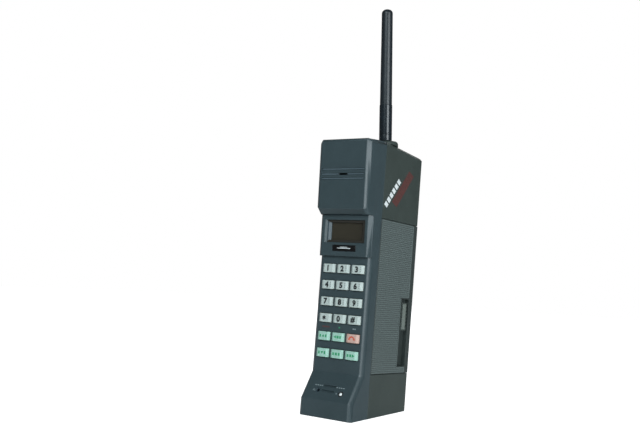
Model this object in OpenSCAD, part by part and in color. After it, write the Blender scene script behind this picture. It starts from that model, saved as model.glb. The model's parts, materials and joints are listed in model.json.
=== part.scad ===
// Early mobile brick phone: handset, slide-off battery pack, side latch,
// eighteen sprung keys and a screw-in antenna.
// Body axes: X across the face, Y from the face to the back, Z along the handset.
// The keypad face is the plane Y = 0; the lower front corner is at Z = 0.
// Every part is drawn in body axes and set on its foot by place().

/* [Body] */
// Width across the face
body_w = 43; // [43:0.5:56]
// Keypad face to the back of the battery
body_d = 64; // [64:1:80]
// Wall of the two shells
wall = 2.2; // [1.6:0.1:2.8]
// Bevel down both front edges
edge_bevel = 2.9; // [1:0.1:3.2]
// Bevel down both back edges
back_bevel = 1.2; // [0.5:0.1:2]
// Angle between the foot and the normal of the keypad face
lean = 2.7; // [0:0.1:4]
// Keypad face to the seam between the shells
seam_y = 10.3; // [10.3:0.1:13]
// Gap between pieces of one assembly that do not touch
fit_gap = 0.3; // [0.2:0.05:0.5]

/* [Front profile] */
// How far the chin stands out
chin_out = 11.6; // [10:0.2:14]
// Height of the upright part of the chin
chin_h = 12.3; // [11:0.1:16]
// Height of the sloping part of the chin
slope_h = 18.3; // [17:0.1:24]
// Height of the keypad face
keypad_h = 80.5; // [80.5:0.5:100]
// Height of the display block
display_h = 29; // [29:0.5:36]
// How far the display block stands out at its foot
display_out = 2.7; // [2.4:0.1:4]
// How much further it stands out at its head
display_tilt_out = 0.9; // [0:0.1:1.5]
// Height of the earpiece block, up to its front corner
ear_h = 51; // [48:0.5:62]
// How far the earpiece block stands out, above its chamfer
ear_out = 10.2; // [9.4:0.1:13]
// How much further it stands out at its head
ear_tilt_out = 2.1; // [0:0.1:3]
// Height of the chamfer under the earpiece block
ear_chamfer = 3.4; // [1:0.1:5]
// Rise from the front top corner to the seam
top_rise = 3.4; // [1:0.1:5]
// Fall from the seam to the back of the top
top_fall = 3; // [0:0.1:5]
// Radius of the back top corner
top_corner_r = 6; // [3:0.5:9]
// Radius of the toe of the chin
toe_r = 1.4; // [0.5:0.1:2]
// Radius of the heel at the back of the base
heel_r = 2; // [1:0.1:4]

/* [Keypad] */
// Width of a key cap
key_w = 10.1; // [8:0.1:10.4]
// Height of a key cap
key_h = 6; // [4.8:0.1:8]
// How far a key stands out
key_out = 1.9; // [1.2:0.1:2.2]
// Height of the bevel at each end of a key
key_bevel = 1.1; // [0.3:0.1:1.1]
// Travel of a key
key_travel = 1; // [0.6:0.1:1.2]
// Gap round a key in its aperture
key_gap = 0.25; // [0.2:0.05:0.35]
// Width of the flange that keeps a key in, on each side
key_flange = 0.5; // [0.4:0.05:0.7]
// Thickness of the flange
key_flange_t = 0.8; // [0.6:0.1:0.8]
// Pitch of the columns
key_pitch_x = 11.85; // [11.8:0.05:14]
// Pitch of the rows
key_pitch_z = 11.6; // [10.4:0.1:11.6]
// Extra space above the two rows of function keys
key_row_gap = 1; // [0:0.1:1]
// Top of the keypad face to the middle of the first row
key_head = 8.7; // [8.7:0.1:12]
// Thickness of the keypad mat
mat_t = 1; // [0.6:0.1:1]
// Height of the mat's domes
dome_h = 0.9; // [0.5:0.1:0.9]
// Thickness of the circuit boards
board_t = 1.6; // [0.8:0.1:1.6]

/* [Display] */
// Width of the window recess
window_w = 33.4; // [32:0.2:36]
// Height of the window recess
window_h = 15.9; // [14:0.1:16]
// Foot of the display block to the foot of the recess
window_foot = 9.5; // [9:0.1:11]
// Width and depth of the bevels at both ends of the recess
window_bevel = 1.5; // [0.8:0.1:1.6]
// Width of the ledge between the two bevels
window_ledge = 1; // [0.5:0.1:1.5]
// Height of the clear part of the window
pane_h = 12.5; // [10:0.1:13]
// Width of the name plate
plate_w = 19; // [10:0.5:22]
// Height of the name plate
plate_h = 4.2; // [3:0.1:4.6]
// Middle of the handset to the middle of the name plate
plate_x = 0.4; // [-2:0.1:2]

/* [Battery] */
// Length of the battery pack along the handset
battery_h = 108.1; // [107:0.1:120]
// Space between the chin's corner and the battery pack
battery_foot = 0.8; // [0.8:0.1:4]
// Wall of the battery case
battery_wall = 1.8; // [1.2:0.1:1.8]
// Depth of the spine that the battery straddles, behind the seam
spine_d = 16.7; // [16.7:0.1:20]
// Thickness of the battery's two cheeks
cheek_t = 2.4; // [1.8:0.1:2.4]
// Diameter of a cell
cell_d = 14.3; // [11:0.1:14.4]
// Length of a cell
cell_h = 50; // [41:0.5:50]

/* [Latch] */
// Travel of the battery latch
latch_travel = 6; // [4:0.1:7]
// Height of the latch pad
latch_h = 20.2; // [16:0.2:21]
// Depth of the latch pad, front to back
latch_d = 8; // [7:0.1:9]
// Height of the latch recess
recess_h = 48.2; // [44:0.2:48.4]
// Depth of the latch recess, front to back
recess_d = 11.7; // [11:0.1:13]
// How far the recess is let in to the side
recess_in = 3.2; // [2.8:0.1:3.2]

/* [Antenna] */
// Length of the antenna above its seat
antenna_h = 95; // [70:1:130]
// Diameter at the foot
antenna_d = 9.2; // [8:0.1:10]
// Diameter at the tip
antenna_tip_d = 8; // [6:0.1:8]
// Length of the glossy sleeve at the foot
sleeve_h = 26; // [20:1:40]
// Distance of the antenna from the middle of the handset
antenna_x = 11.5; // [9:0.1:12]
// Keypad face to the antenna at its seat
antenna_y = 24; // [22:0.1:30]
// Forward tilt of the antenna
antenna_tilt = 6.6; // [0:0.1:8]
// Diameter of the threaded stud
stud_d = 5; // [4:0.1:5]
// Radial clearance of the stud in its socket
stud_clear = 0.05; // [0.02:0.01:0.09]
// Length of the stud
stud_h = 10; // [8:0.5:10]

/* [Sockets and screws] */
// Diameter of the plug that the jack socket takes
plug_d = 2.5; // [2:0.1:3.2]
// Radial clearance of the plug
plug_clear = 0.05; // [0.02:0.01:0.09]
// Diameter of the indicator lamp
lamp_d = 2.2; // [1.6:0.1:3]
// Diameter of the case screws
screw_d = 3; // [2.5:0.1:3]
// Middle of the handset to the case screws
screw_x = 15; // [15:0.1:15.2]

/* [Hidden] */
$fn = 48;
half_w = body_w / 2;
eps = 0.02;
air = 5;

// Heights of the corners of the front profile
z_slope = chin_h;
z_keypad = z_slope + slope_h;
z_display = z_keypad + keypad_h;
z_ear = z_display + display_h;
z_top = z_ear + ear_h;
z_ridge = z_top + top_rise;
z_back_top = z_ridge - top_fall;

// The corners themselves, as [y, z]
chin_low = [-chin_out, 0];
chin_high = [-chin_out, z_slope];
keypad_low = [0, z_keypad];
keypad_high = [0, z_display];
display_low = [-display_out, z_display];
display_high = [-display_out - display_tilt_out, z_ear];
ear_low = [-ear_out + 1.1 * ear_chamfer, z_ear];
ear_mid = [-ear_out, z_ear + ear_chamfer];
ear_high = [-ear_out - ear_tilt_out, z_top];
brow = [ear_high[0] + 1.1, z_top + 1.3];
ridge = [seam_y, z_ridge];

// Battery bay and spine
z_bay = z_keypad + battery_foot - fit_gap;
bay_h = battery_h + 2 * fit_gap;
z_bay_top = z_bay + bay_h;
z_battery = z_bay + fit_gap;
spine_y = seam_y + spine_d;
spine_half_w = half_w - cheek_t - fit_gap;
spine_wall = 2;
spine_in_half_w = spine_half_w - 1.8;
battery_y = spine_y + fit_gap;
cover_t = 1.8;

// Display, from the face back
ledge_w = window_w - 2 * window_bevel - 2 * window_ledge;
pane_w = window_w - 3.4;
plate_up = window_foot - plate_h / 2 - 1.9;

// Keypad stack, from the face back
key_cols = 3;
key_rows = 6;
flange_y = wall + fit_gap;
dome_y = flange_y + key_flange_t + key_travel + fit_gap;
mat_y = dome_y + dome_h;
keypad_board_y = mat_y + mat_t;
chassis_t = 1.5;
chassis_y = seam_y - chassis_t - 0.4;
keypad_board_t = min(board_t, chassis_y - keypad_board_y - 0.2);

// Screws
boss_r = 3;
sleeve_r = 3.6;
screw_r = screw_d / 2;
screw_hole_r = screw_r + 0.15;
screw_core_r = screw_r - 0.2;
screw_head_r = 2.75;
screw_head_t = 2;
screw_low_z = z_keypad + 5.4;
screw_high_z = z_display + 3.4;
screw_zs = [screw_low_z, screw_high_z];
boss_ys = [wall - 0.2, wall - display_out - 0.4];

// Boards behind the seam
logic_y = seam_y + 1.2;
rf_y = spine_y - spine_wall - 3 - 0.4 - board_t;
board_foot_z = screw_low_z + sleeve_r + 2;
rf_top_z = z_top - 9;
shield_y = logic_y + board_t + 2.5;
shield_half_w = 13.5;

// Latch, in body axes
side_x = half_w;
recess_floor_x = side_x - recess_in;
recess_back_x = recess_floor_x - battery_wall;
recess_y = body_d - 5.8 - recess_d;
recess_z = z_battery + 5.2;
pad_y = recess_y + (recess_d - latch_d) / 2;
pad_z = recess_z + recess_h - latch_h - 2.5;
bar_t = 1.3;
bar_h = 6;
bar_x = recess_back_x - fit_gap - bar_t;
bar_z = pad_z + 7;
stem_d = 3;
stem_y = pad_y + (latch_d - stem_d) / 2;
foot_w = 3.2;
foot_t = 2;
foot_x = bar_x + bar_t + 0.3 - foot_w;
foot_y = spine_y - spine_wall - fit_gap - foot_t;

// Contacts between handset and battery
contact_xs = [-6, 0, 6];
contact_z = z_bay_top - 10;

// Antenna seat
antenna_z = z_ridge - top_fall * (antenna_y - seam_y) / (body_d - top_corner_r - seam_y) + 3.75;
turret_r = 9.2;
socket_r = 4.5;
socket_h = 12;
seat_gap = 0.3;
seal_t = 0.8;
seal_r = antenna_d / 2 + 0.1;
turret_round = 2.6;

// Duplexer filter, which the antenna lead comes from
duplexer_z = z_bay_top + 8;
duplexer_h = 20;

// Chin slope features, measured up the slope and across
slope_l = norm(keypad_low - chin_high);
mic_x = -0.5;
mic_up = 9;
mic_r = 3.9;
slot_w = 10.4;
slot_h = 1.2;
slot_pitch = 3.9;
jack_x = -8.6;
jack_up = 7.1;
jack_r = 2.1;
jack_body = 2.9;
lamp_x = 10.4;
lamp_up = 6.2;

// Earpiece, measured up the face from its lower corner
ear_up = 24.2;
groove_half_w = 17.5;
groove_h = 1.3;
groove_in = 1.1;
groove_ups = [21.1, 24.2, 27.7];
speaker_r = 13;

// Accessory connector, measured back along the foot
connector_y = 24;
connector_d = 6;
connector_w = 16;

// Height of the foot at a distance y behind the keypad face
function base_z(y) = (y + chin_out) * tan(lean);
// Middle of the standing handset, front to back
back_reach = (body_d - top_corner_r) * cos(lean) + (z_back_top - top_corner_r) * sin(lean) + top_corner_r;
middle_y = (back_reach - chin_out * cos(lean)) / 2;
// Row r and column c of a key's middle
function key_x(c) = (c - 1) * key_pitch_x;
function key_z(r) = z_display - key_head - r * key_pitch_z - (r > 3 ? key_row_gap : 0);

// ---- Frames -------------------------------------------------------------

// Stands the handset on its foot, over the origin
module place() translate([0, -middle_y, -chin_out * sin(lean)]) rotate([-lean, 0, 0]) children();

// Sloping face from p to q: local Y goes inwards and local Z goes up the face
module on_face(p, q) translate([0, p[0], p[1]]) rotate([-atan2(q[0] - p[0], q[1] - p[1]), 0, 0]) children();
module on_slope() on_face(chin_high, keypad_low) children();
module on_display() on_face(display_low, display_high) children();
module on_ear() on_face(ear_mid, ear_high) children();

// Foot: local Z goes up from it and local Y goes back along it
module on_foot() translate([0, -chin_out, 0]) rotate([lean, 0, 0]) children();

// Antenna: local Z goes up its axis from the seat
module on_antenna() translate([antenna_x, antenna_y, antenna_z]) rotate([antenna_tilt, 0, 0]) children();

// ---- Shared shapes ------------------------------------------------------

// Extrudes a side outline drawn in [y, z] to a width across X
module across(w) rotate([90, 0, 90]) translate([0, 0, -w / 2]) linear_extrude(w) children();

// Cylinder along Y, from the plane Y = 0 back
module rod_y(r, h) rotate([-90, 0, 0]) cylinder(r = r, h = h);

// Box centred on X that starts at y and z
module slab(w, y, d, z, h) translate([-w / 2, y, z]) cube([w, d, h]);

// Copies at all four case screws
module at_screws() for (x = [-screw_x, screw_x], z = screw_zs) translate([x, 0, z]) children();

// Prism that bevels both edges of a face between two heights on it
module bevel_cut(h, size, below = 0, above = 0)
  for (side = [-1, 1])
    mirror([side < 0 ? 1 : 0, 0, 0])
      translate([0, 0, -below])
        linear_extrude(h + below + above)
          polygon([[half_w - size - 1, -1], [half_w + 1, -1], [half_w + 1, size + 1]]);

// ---- Outlines -----------------------------------------------------------

// Arc of a corner in a side outline
function arc(c, r, from, to, n = 8) =
  [for (i = [0:n]) c + r * [cos(from + (to - from) * i / n), sin(from + (to - from) * i / n)]];

module front_outline() polygon(concat(
  arc([toe_r - chin_out, base_z(toe_r - chin_out) + toe_r / cos(lean)], toe_r, 180, 270 + lean, 4),
  [[seam_y, base_z(seam_y)], ridge, brow, ear_high, ear_mid, ear_low,
    display_high, display_low, keypad_high, keypad_low, chin_high]
));

module rear_outline() polygon(concat(
  [[seam_y, base_z(seam_y)]],
  arc([body_d - heel_r, base_z(body_d - heel_r) + heel_r / cos(lean)], heel_r, -90 + lean, 0),
  arc([body_d - top_corner_r, z_back_top - top_corner_r], top_corner_r, 0, 86),
  [ridge]
));

// ---- Shells -------------------------------------------------------------

module front_bevels() {
  // At the inner corner each bevel runs on to the mitre; at outer corners it runs out into the air
  inner_turn = edge_bevel * tan(atan2(chin_out, slope_h) / 2) + 0.1;
  on_face(chin_low, chin_high) bevel_cut(chin_h, edge_bevel, below = 1, above = 0.5);
  on_slope() bevel_cut(slope_l, edge_bevel, below = 0.5, above = inner_turn);
  on_face(keypad_low, keypad_high) bevel_cut(keypad_h, edge_bevel, below = inner_turn, above = -0.05);
  on_display() bevel_cut(norm(display_high - display_low), edge_bevel, below = 0.5, above = -0.1);
  on_face(ear_low, ear_mid) bevel_cut(norm(ear_mid - ear_low), edge_bevel, below = 0.5, above = 0.5);
  on_ear() bevel_cut(norm(ear_high - ear_mid), edge_bevel, below = 0.5, above = 0.5);
  on_face(ear_high, brow) bevel_cut(norm(brow - ear_high), edge_bevel, below = 0.5, above = 1);
}

// Opening whose ends are bevelled from a width at depth 0 down to a depth, and straight beyond
module bevelled_opening(w, h, depth)
  linear_extrude(h)
    polygon([
      [-w / 2 - 1, -1], [w / 2 + 1, -1], [w / 2 - window_bevel, window_bevel], [w / 2 - window_bevel, depth],
      [window_bevel - w / 2, depth], [window_bevel - w / 2, window_bevel]
    ]);

module front_shell() color([0.24, 0.30, 0.34]) place() difference() {
  union() {
    difference() {
      across(body_w) front_outline();
      front_bevels();
      across(body_w - 2 * wall) union() {
        offset(delta = -wall) front_outline();
        intersection() {
          translate([wall, 0]) offset(delta = -wall) front_outline();
          translate([seam_y - wall - 1, 0]) square([wall + 1, z_ridge]);
        }
      }
    }
    for (x = [-screw_x, screw_x], k = [0, 1])
      translate([x, boss_ys[k], screw_zs[k]]) rod_y(boss_r, seam_y - boss_ys[k]);
  }
  at_screws() translate([0, 3.5, 0]) rod_y(screw_core_r, seam_y);
  for (r = [0:key_rows - 1], c = [0:key_cols - 1])
    translate([key_x(c), 0, key_z(r)])
      cube([key_w + 2 * key_gap, 2 * wall + 1, key_h + 2 * key_gap], center = true);
  on_display() {
    translate([0, 0, window_foot]) bevelled_opening(window_w, window_h, wall + 1);
    translate([plate_x, 0, plate_up]) cube([plate_w + 0.2, 0.8, plate_h + 0.2], center = true);
  }
  on_ear() {
    for (up = groove_ups) translate([0, 0, up]) cube([2 * groove_half_w, 2 * groove_in, groove_h], center = true);
    translate([0, 0, ear_up]) cube([7.4, 3 * wall, groove_h], center = true);
  }
  on_slope() {
    for (k = [-0.5, 0.5])
      translate([mic_x, 0, mic_up + k * slot_pitch]) cube([slot_w, 2 * wall + 1, slot_h], center = true);
    translate([jack_x, -1, jack_up]) rod_y(jack_r + 0.05, wall + 3);
    translate([lamp_x, -1, lamp_up]) rod_y(lamp_d / 2 + 0.05, wall + 3);
  }
}

module battery_bay() difference() {
  translate([-body_w, seam_y - eps, z_bay]) cube([2 * body_w, body_d, bay_h]);
  slab(2 * spine_half_w, 0, spine_y, z_bay - 1, bay_h + 2);
}

// Keyhole that the latch foot enters at rest and slides behind when it locks
module latch_keyhole() {
  y = spine_y - spine_wall - 1;
  translate([foot_x - 0.4, y, bar_z - 0.4]) cube([foot_w + 0.8, spine_wall + 2, bar_h + 0.8]);
  translate([bar_x - 0.3, y, bar_z - latch_travel - 0.4])
    cube([bar_t + 0.6, spine_wall + 2, bar_h + latch_travel]);
}

module rear_shell() color([0.25, 0.28, 0.26]) place() difference() {
  union() {
    difference() {
      across(body_w) rear_outline();
      battery_bay();
      translate([0, body_d, 0]) mirror([0, 1, 0]) bevel_cut(z_ridge, back_bevel);
      // Room in the head, in the base and through the spine between them
      difference() {
        across(body_w - 2 * wall) union() {
          offset(delta = -wall) rear_outline();
          intersection() {
            translate([-wall, 0]) offset(delta = -wall) rear_outline();
            translate([seam_y - 1, 0]) square([wall + 2, z_ridge]);
          }
        }
        slab(2 * body_w, 0, 2 * body_d, z_bay - wall, bay_h + 2 * wall);
      }
      slab(2 * spine_in_half_w, seam_y - 1, spine_d - spine_wall + 1, z_bay - wall - 1, bay_h + 2 * wall + 2);
    }
    intersection() {
      at_screws() translate([0, seam_y, 0]) rod_y(sleeve_r, spine_d);
      slab(2 * spine_half_w, seam_y, spine_d, 0, z_ridge);
    }
  }
  at_screws() {
    translate([0, seam_y - 1, 0]) rod_y(screw_hole_r, spine_d + 3);
    translate([0, spine_y - 3, 0]) rod_y(screw_head_r + 0.15, 5);
  }
  latch_keyhole();
  for (x = contact_xs) translate([x, spine_y - spine_wall - 1, contact_z]) rod_y(1.1, spine_wall + 2);
  on_antenna() translate([0, 0, -socket_h - 2]) cylinder(r = socket_r + 0.05, h = socket_h + air);
  on_foot() translate([-connector_w / 2 - 0.1, connector_y - 0.1, -1])
    cube([connector_w + 0.2, connector_d + 0.2, wall + 2]);
}

module case_screws() color([0.7, 0.7, 0.68]) place() at_screws() {
  translate([0, seam_y - 5, 0]) rod_y(screw_r, spine_d + 5 - 3 + eps);
  difference() {
    translate([0, spine_y - 3, 0]) rod_y(screw_head_r, screw_head_t);
    for (turn = [0, 90])
      translate([0, spine_y - 3 + screw_head_t, 0]) rotate([0, turn, 0]) cube([3.4, 1.6, 0.8], center = true);
  }
}

// ---- Display and face ---------------------------------------------------

module display_bezel() color([0.24, 0.30, 0.34]) place() on_display() difference() {
  union() {
    slab(ledge_w + 2 * window_ledge - 0.2, window_bevel, wall - window_bevel + 0.6, window_foot + 0.1, window_h - 0.2);
    slab(window_w + 1.6, wall + 0.1, 1.2, window_foot - 0.9, window_h + 1.8);
  }
  translate([0, window_bevel, window_foot + (window_h - pane_h) / 2]) bevelled_opening(ledge_w, pane_h, 4);
}

module display_window() color([0.2, 0.17, 0.13]) place() on_display()
  slab(pane_w, wall + 1.3, 1.2, window_foot + 0.4, window_h - 0.8);

module display_module() color([0.75, 0.76, 0.72]) place() on_display()
  difference() {
    slab(pane_w, wall + 2.6, 3.6, window_foot - 0.5, window_h + 1);
    slab(pane_w - 6, wall + 2, 1.2, window_foot + 3, window_h - 6);
  }

module name_plate() color([0.06, 0.06, 0.06]) place() on_display()
  translate([plate_x, 0.1, plate_up]) cube([plate_w, 0.6, plate_h], center = true);

module indicator_lamp() color([0.93, 0.93, 0.92]) place() on_slope() translate([lamp_x, -0.5, lamp_up]) {
  rod_y(lamp_d / 2, wall + 0.5 + eps);
  translate([0, wall + 0.5, 0]) rod_y(lamp_d / 2 + 0.6, 4);
}

// ---- Keypad -------------------------------------------------------------

module keypad_mat() color([0.35, 0.36, 0.37]) place() {
  low = screw_low_z + boss_r + 0.4;
  slab(2 * key_pitch_x + key_w, mat_y, mat_t, low, z_display - 3.6 - low);
  for (r = [0:key_rows - 1], c = [0:key_cols - 1])
    translate([key_x(c), dome_y, key_z(r)]) rod_y(2.2, dome_h + eps);
}

module keypad_board() color([0.12, 0.35, 0.2]) place() {
  low = screw_low_z + boss_r + 0.4;
  slab(2 * key_pitch_x + key_w, keypad_board_y, keypad_board_t, low, z_display - 3.6 - low);
}

module key_cap(col, row, tint) color(tint) place() translate([key_x(col), 0, key_z(row)]) {
  side = key_w / 2;
  translate([0, 0, -key_h / 2])
    linear_extrude(key_h)
      polygon([
        [-side, flange_y + eps], [-side, key_bevel - key_out], [-side + 1.6, -key_out],
        [side - 1.6, -key_out], [side, key_bevel - key_out], [side, flange_y + eps]
      ]);
  translate([-side - key_flange, flange_y, -key_h / 2 - key_flange])
    cube([key_w + 2 * key_flange, key_flange_t, key_h + 2 * key_flange]);
}

white_key = [0.80, 0.84, 0.82];
mint_key = [0.74, 0.87, 0.81];
pink_key = [0.87, 0.75, 0.69];
module key_1() key_cap(0, 0, white_key);
module key_2() key_cap(1, 0, white_key);
module key_3() key_cap(2, 0, white_key);
module key_4() key_cap(0, 1, white_key);
module key_5() key_cap(1, 1, white_key);
module key_6() key_cap(2, 1, white_key);
module key_7() key_cap(0, 2, white_key);
module key_8() key_cap(1, 2, white_key);
module key_9() key_cap(2, 2, white_key);
module key_star() key_cap(0, 3, white_key);
module key_0() key_cap(1, 3, white_key);
module key_hash() key_cap(2, 3, white_key);
module key_recall() key_cap(0, 4, mint_key);
module key_clear() key_cap(1, 4, mint_key);
module key_end() key_cap(2, 4, pink_key);
module key_store() key_cap(0, 5, mint_key);
module key_function() key_cap(1, 5, mint_key);
module key_send() key_cap(2, 5, mint_key);

// ---- Inside the handset -------------------------------------------------

module chassis() color([0.72, 0.72, 0.7]) place() difference() {
  slab(body_w - 2 * wall - 0.8, chassis_y, chassis_t, z_slope, z_top - 4 - z_slope);
  at_screws() rod_y(boss_r + 0.3, seam_y);
}

module logic_board() color([0.1, 0.32, 0.2]) place() difference() {
  slab(2 * spine_in_half_w - 1.2, logic_y, board_t, board_foot_z, z_bay_top - board_foot_z);
  at_screws() rod_y(sleeve_r + 0.3, spine_y);
}

module logic_chips() color([0.12, 0.12, 0.13]) place() {
  for (k = [0:4]) slab(14, logic_y + board_t, 2, board_foot_z + 6 + 12.5 * k, 8);
}

module rf_board() color([0.14, 0.3, 0.18]) place() difference() {
  slab(2 * spine_in_half_w - 2, rf_y, board_t, board_foot_z, rf_top_z - board_foot_z);
  at_screws() rod_y(sleeve_r + 0.3, spine_y);
}

module rf_shield() color([0.78, 0.78, 0.76]) place() difference() {
  slab(2 * shield_half_w, shield_y, rf_y - shield_y, board_foot_z + 2, 62);
  slab(2 * shield_half_w - 1, shield_y + 0.5, rf_y, board_foot_z + 2.5, 61);
}

module board_connector() color([0.1, 0.1, 0.1]) place()
  slab(16, logic_y + board_t, rf_y - logic_y - board_t, screw_high_z + sleeve_r + 5, 6);

module duplexer() color([0.76, 0.72, 0.6]) place() {
  slab(26, rf_y + board_t, 16, duplexer_z, duplexer_h);
  for (x = [-8, 0, 8])
    translate([x, rf_y + board_t + 16 - eps, duplexer_z + duplexer_h / 2]) rod_y(2, 2.5);
}

module power_amplifier() color([0.7, 0.7, 0.7]) place() {
  z = duplexer_z + duplexer_h + 3;
  translate([-14, rf_y + board_t, z]) cube([19, 3, rf_top_z - 2 - z]);
  for (k = [0:4]) translate([-13.5 + 4 * k, rf_y + board_t + 3 - eps, z]) cube([1.5, 5, rf_top_z - 2 - z]);
}

module earpiece_gasket() color([0.15, 0.15, 0.15]) place() on_ear()
  translate([0, wall, ear_up]) difference() {
    rod_y(speaker_r, 2.4);
    translate([0, -1, 0]) rod_y(speaker_r - 2.5, 5);
  }

module earpiece_speaker() color([0.5, 0.5, 0.48]) place() on_ear() translate([0, wall + 2.4, ear_up]) {
  rod_y(speaker_r, 3 + eps);
  translate([0, 3, 0]) rod_y(speaker_r - 4, 3.5);
}

module microphone_boot() color([0.12, 0.12, 0.12]) place() on_slope()
  translate([mic_x, wall, mic_up]) difference() {
    rod_y(mic_r + 0.8, 5);
    translate([0, -1, 0]) rod_y(mic_r - 0.8, 3);
    translate([0, 1, 0]) rod_y(mic_r, 6);
  }

module microphone() color([0.6, 0.6, 0.6]) place() on_slope()
  translate([mic_x, wall + 1, mic_up]) rod_y(mic_r, 5);

module jack_socket() color([0.1, 0.1, 0.1]) place() on_slope() translate([jack_x, 0, jack_up]) difference() {
  union() {
    translate([0, 0.3, 0]) rod_y(jack_r, wall + eps);
    translate([-jack_body, wall + 0.3, -jack_body]) cube([2 * jack_body, 8, 2 * jack_body]);
  }
  translate([0, -1, 0]) rod_y(plug_d / 2 + plug_clear, wall + 8);
}

module buzzer() color([0.12, 0.12, 0.12]) place() on_foot()
  translate([0, chin_out + seam_y + 22, wall + 0.1]) difference() {
    cylinder(r = 9, h = 6);
    translate([0, 0, 4]) cylinder(r = 1.5, h = 3);
  }

module accessory_connector() color([0.1, 0.1, 0.1]) place() on_foot() difference() {
  translate([-connector_w / 2, connector_y, 0.8]) cube([connector_w, connector_d, wall + 3]);
  for (k = [-3:3]) translate([2 * k - 0.5, connector_y + connector_d / 2 - 1, 0]) cube([1, 2, 2.5]);
}

module contact_block() color([0.15, 0.15, 0.15]) place() difference() {
  slab(18, spine_y - spine_wall - 3, 3, contact_z - 4, 8);
  for (x = contact_xs) translate([x, spine_y - spine_wall - 4, contact_z]) rod_y(1.05, 6);
}

module spring_contacts() color([0.85, 0.7, 0.35]) place()
  for (x = contact_xs) translate([x, spine_y - spine_wall - 2.8, contact_z]) rod_y(1, spine_wall + 3);

// ---- Battery pack -------------------------------------------------------

module battery_case() color([0.36, 0.38, 0.37]) place() difference() {
  union() {
    difference() {
      slab(body_w, battery_y, body_d - battery_y, z_battery, battery_h);
      slab(body_w - 2 * battery_wall, battery_y - 1, body_d - battery_y - battery_wall + 1,
        z_battery + battery_wall, battery_h - 2 * battery_wall);
    }
    for (side = [-1, 1])
      translate([side * (half_w - cheek_t / 2) - cheek_t / 2, seam_y + fit_gap, z_battery])
        cube([cheek_t, battery_y - seam_y - fit_gap, battery_h]);
    translate([recess_back_x, recess_y - 1.2, recess_z - 1.2])
      cube([side_x - recess_back_x, recess_d + 2.4, recess_h + 2.4]);
  }
  translate([0, body_d, 0]) mirror([0, 1, 0]) bevel_cut(z_ridge, back_bevel);
  translate([recess_floor_x, recess_y, recess_z]) cube([recess_in + 1, recess_d, recess_h]);
  // Slot for the stem of the latch
  translate([recess_back_x - 1, stem_y - 0.3, bar_z - latch_travel - 0.3])
    cube([battery_wall + 2, stem_d + 0.6, bar_h + latch_travel + 0.6]);
}

module battery_cover() color([0.3, 0.32, 0.31]) place() difference() {
  slab(body_w - 2 * battery_wall - 0.2, battery_y, cover_t, z_battery + battery_wall + 0.1,
    battery_h - 2 * battery_wall - 0.2);
  translate([bar_x - 0.3, battery_y - 1, bar_z - latch_travel - 0.3])
    cube([bar_t + 0.6, cover_t + 2, bar_h + latch_travel + 0.6]);
  for (x = contact_xs) translate([x - 2.2, battery_y - 1, contact_z - 3.2]) cube([4.4, 1.5, 6.4]);
}

module battery_terminals() color([0.85, 0.75, 0.45]) place()
  for (x = contact_xs) translate([x - 2, battery_y, contact_z - 3]) cube([4, 0.5, 6]);

cell_foot = z_battery + battery_wall + 1.2;
strap_t = 0.4;
cell_xs = [-cell_d / 2 - 0.15, cell_d / 2 + 0.15];
cell_y0 = battery_y + cover_t + 0.6 + cell_d / 2;
cell_ys = [cell_y0, cell_y0 + cell_d + 0.3];
cell_zs = [cell_foot, cell_foot + cell_h + strap_t];

module battery_cells() color([0.2, 0.35, 0.55]) place()
  for (x = cell_xs, y = cell_ys, z = cell_zs) translate([x, y, z]) {
    cylinder(d = cell_d, h = cell_h - 1 + eps);
    translate([0, 0, cell_h - 1]) cylinder(d = 5.5, h = 1);
  }

module cell_straps() color([0.8, 0.8, 0.78]) place()
  for (y = cell_ys, k = [0:2])
    slab(cell_d + 8, y - 2, 4, cell_foot - strap_t + k * (cell_h + strap_t), strap_t);

module latch_spring() color([0.75, 0.75, 0.72]) place()
  translate([recess_back_x - 0.4, stem_y + stem_d + 1, recess_z]) cube([0.4, 3, recess_h - 4]);

module latch_slider() color([0.15, 0.16, 0.16]) place() {
  pad_in = recess_in - fit_gap;
  difference() {
    translate([recess_floor_x + fit_gap, pad_y, pad_z]) cube([pad_in - 0.3, latch_d, latch_h]);
    for (k = [0:5])
      translate([side_x - 0.3, pad_y + latch_d / 2, pad_z + 3.4 + 2.7 * k]) rotate([0, 45, 0])
        cube([0.9, latch_d + 1, 0.9], center = true);
  }
  translate([bar_x, stem_y, bar_z]) cube([recess_floor_x + fit_gap + eps - bar_x, stem_d, bar_h]);
  translate([bar_x, foot_y, bar_z]) cube([bar_t, stem_y - foot_y + stem_d, bar_h]);
  translate([foot_x, foot_y, bar_z]) cube([foot_w, foot_t, bar_h]);
}

// ---- Antenna ------------------------------------------------------------

module antenna_turret() color([0.2, 0.23, 0.22]) place() difference() {
  on_antenna() rotate_extrude() polygon(concat(
    [[socket_r + 0.05, -air], [turret_r, -air]],
    arc([turret_r - turret_round, -seat_gap - turret_round], turret_round, 0, 90),
    [[seal_r + 0.2, -seat_gap], [seal_r + 0.2, -seat_gap - seal_t], [socket_r + 0.05, -seat_gap - seal_t]]
  ));
  across(body_w) rear_outline();
}

module antenna_socket() color([0.8, 0.68, 0.4]) place() on_antenna() difference() {
  translate([0, 0, -socket_h]) cylinder(r = socket_r, h = socket_h - seat_gap - seal_t);
  translate([0, 0, -socket_h + 1]) cylinder(r = stud_d / 2 + stud_clear, h = socket_h);
}

module antenna_lead() color([0.1, 0.1, 0.1]) place() on_antenna() {
  length = (antenna_z - duplexer_z - duplexer_h) / cos(antenna_tilt) - socket_h - 0.15;
  translate([0, 0, -socket_h - length]) cylinder(d = 1.8, h = length);
}

module antenna_seal() color([0.05, 0.05, 0.05]) place() on_antenna()
  translate([0, 0, -seal_t]) difference() {
    cylinder(r = seal_r, h = seal_t - 0.1);
    translate([0, 0, -1]) cylinder(r = stud_d / 2 + 0.1, h = 3);
  }

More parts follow.
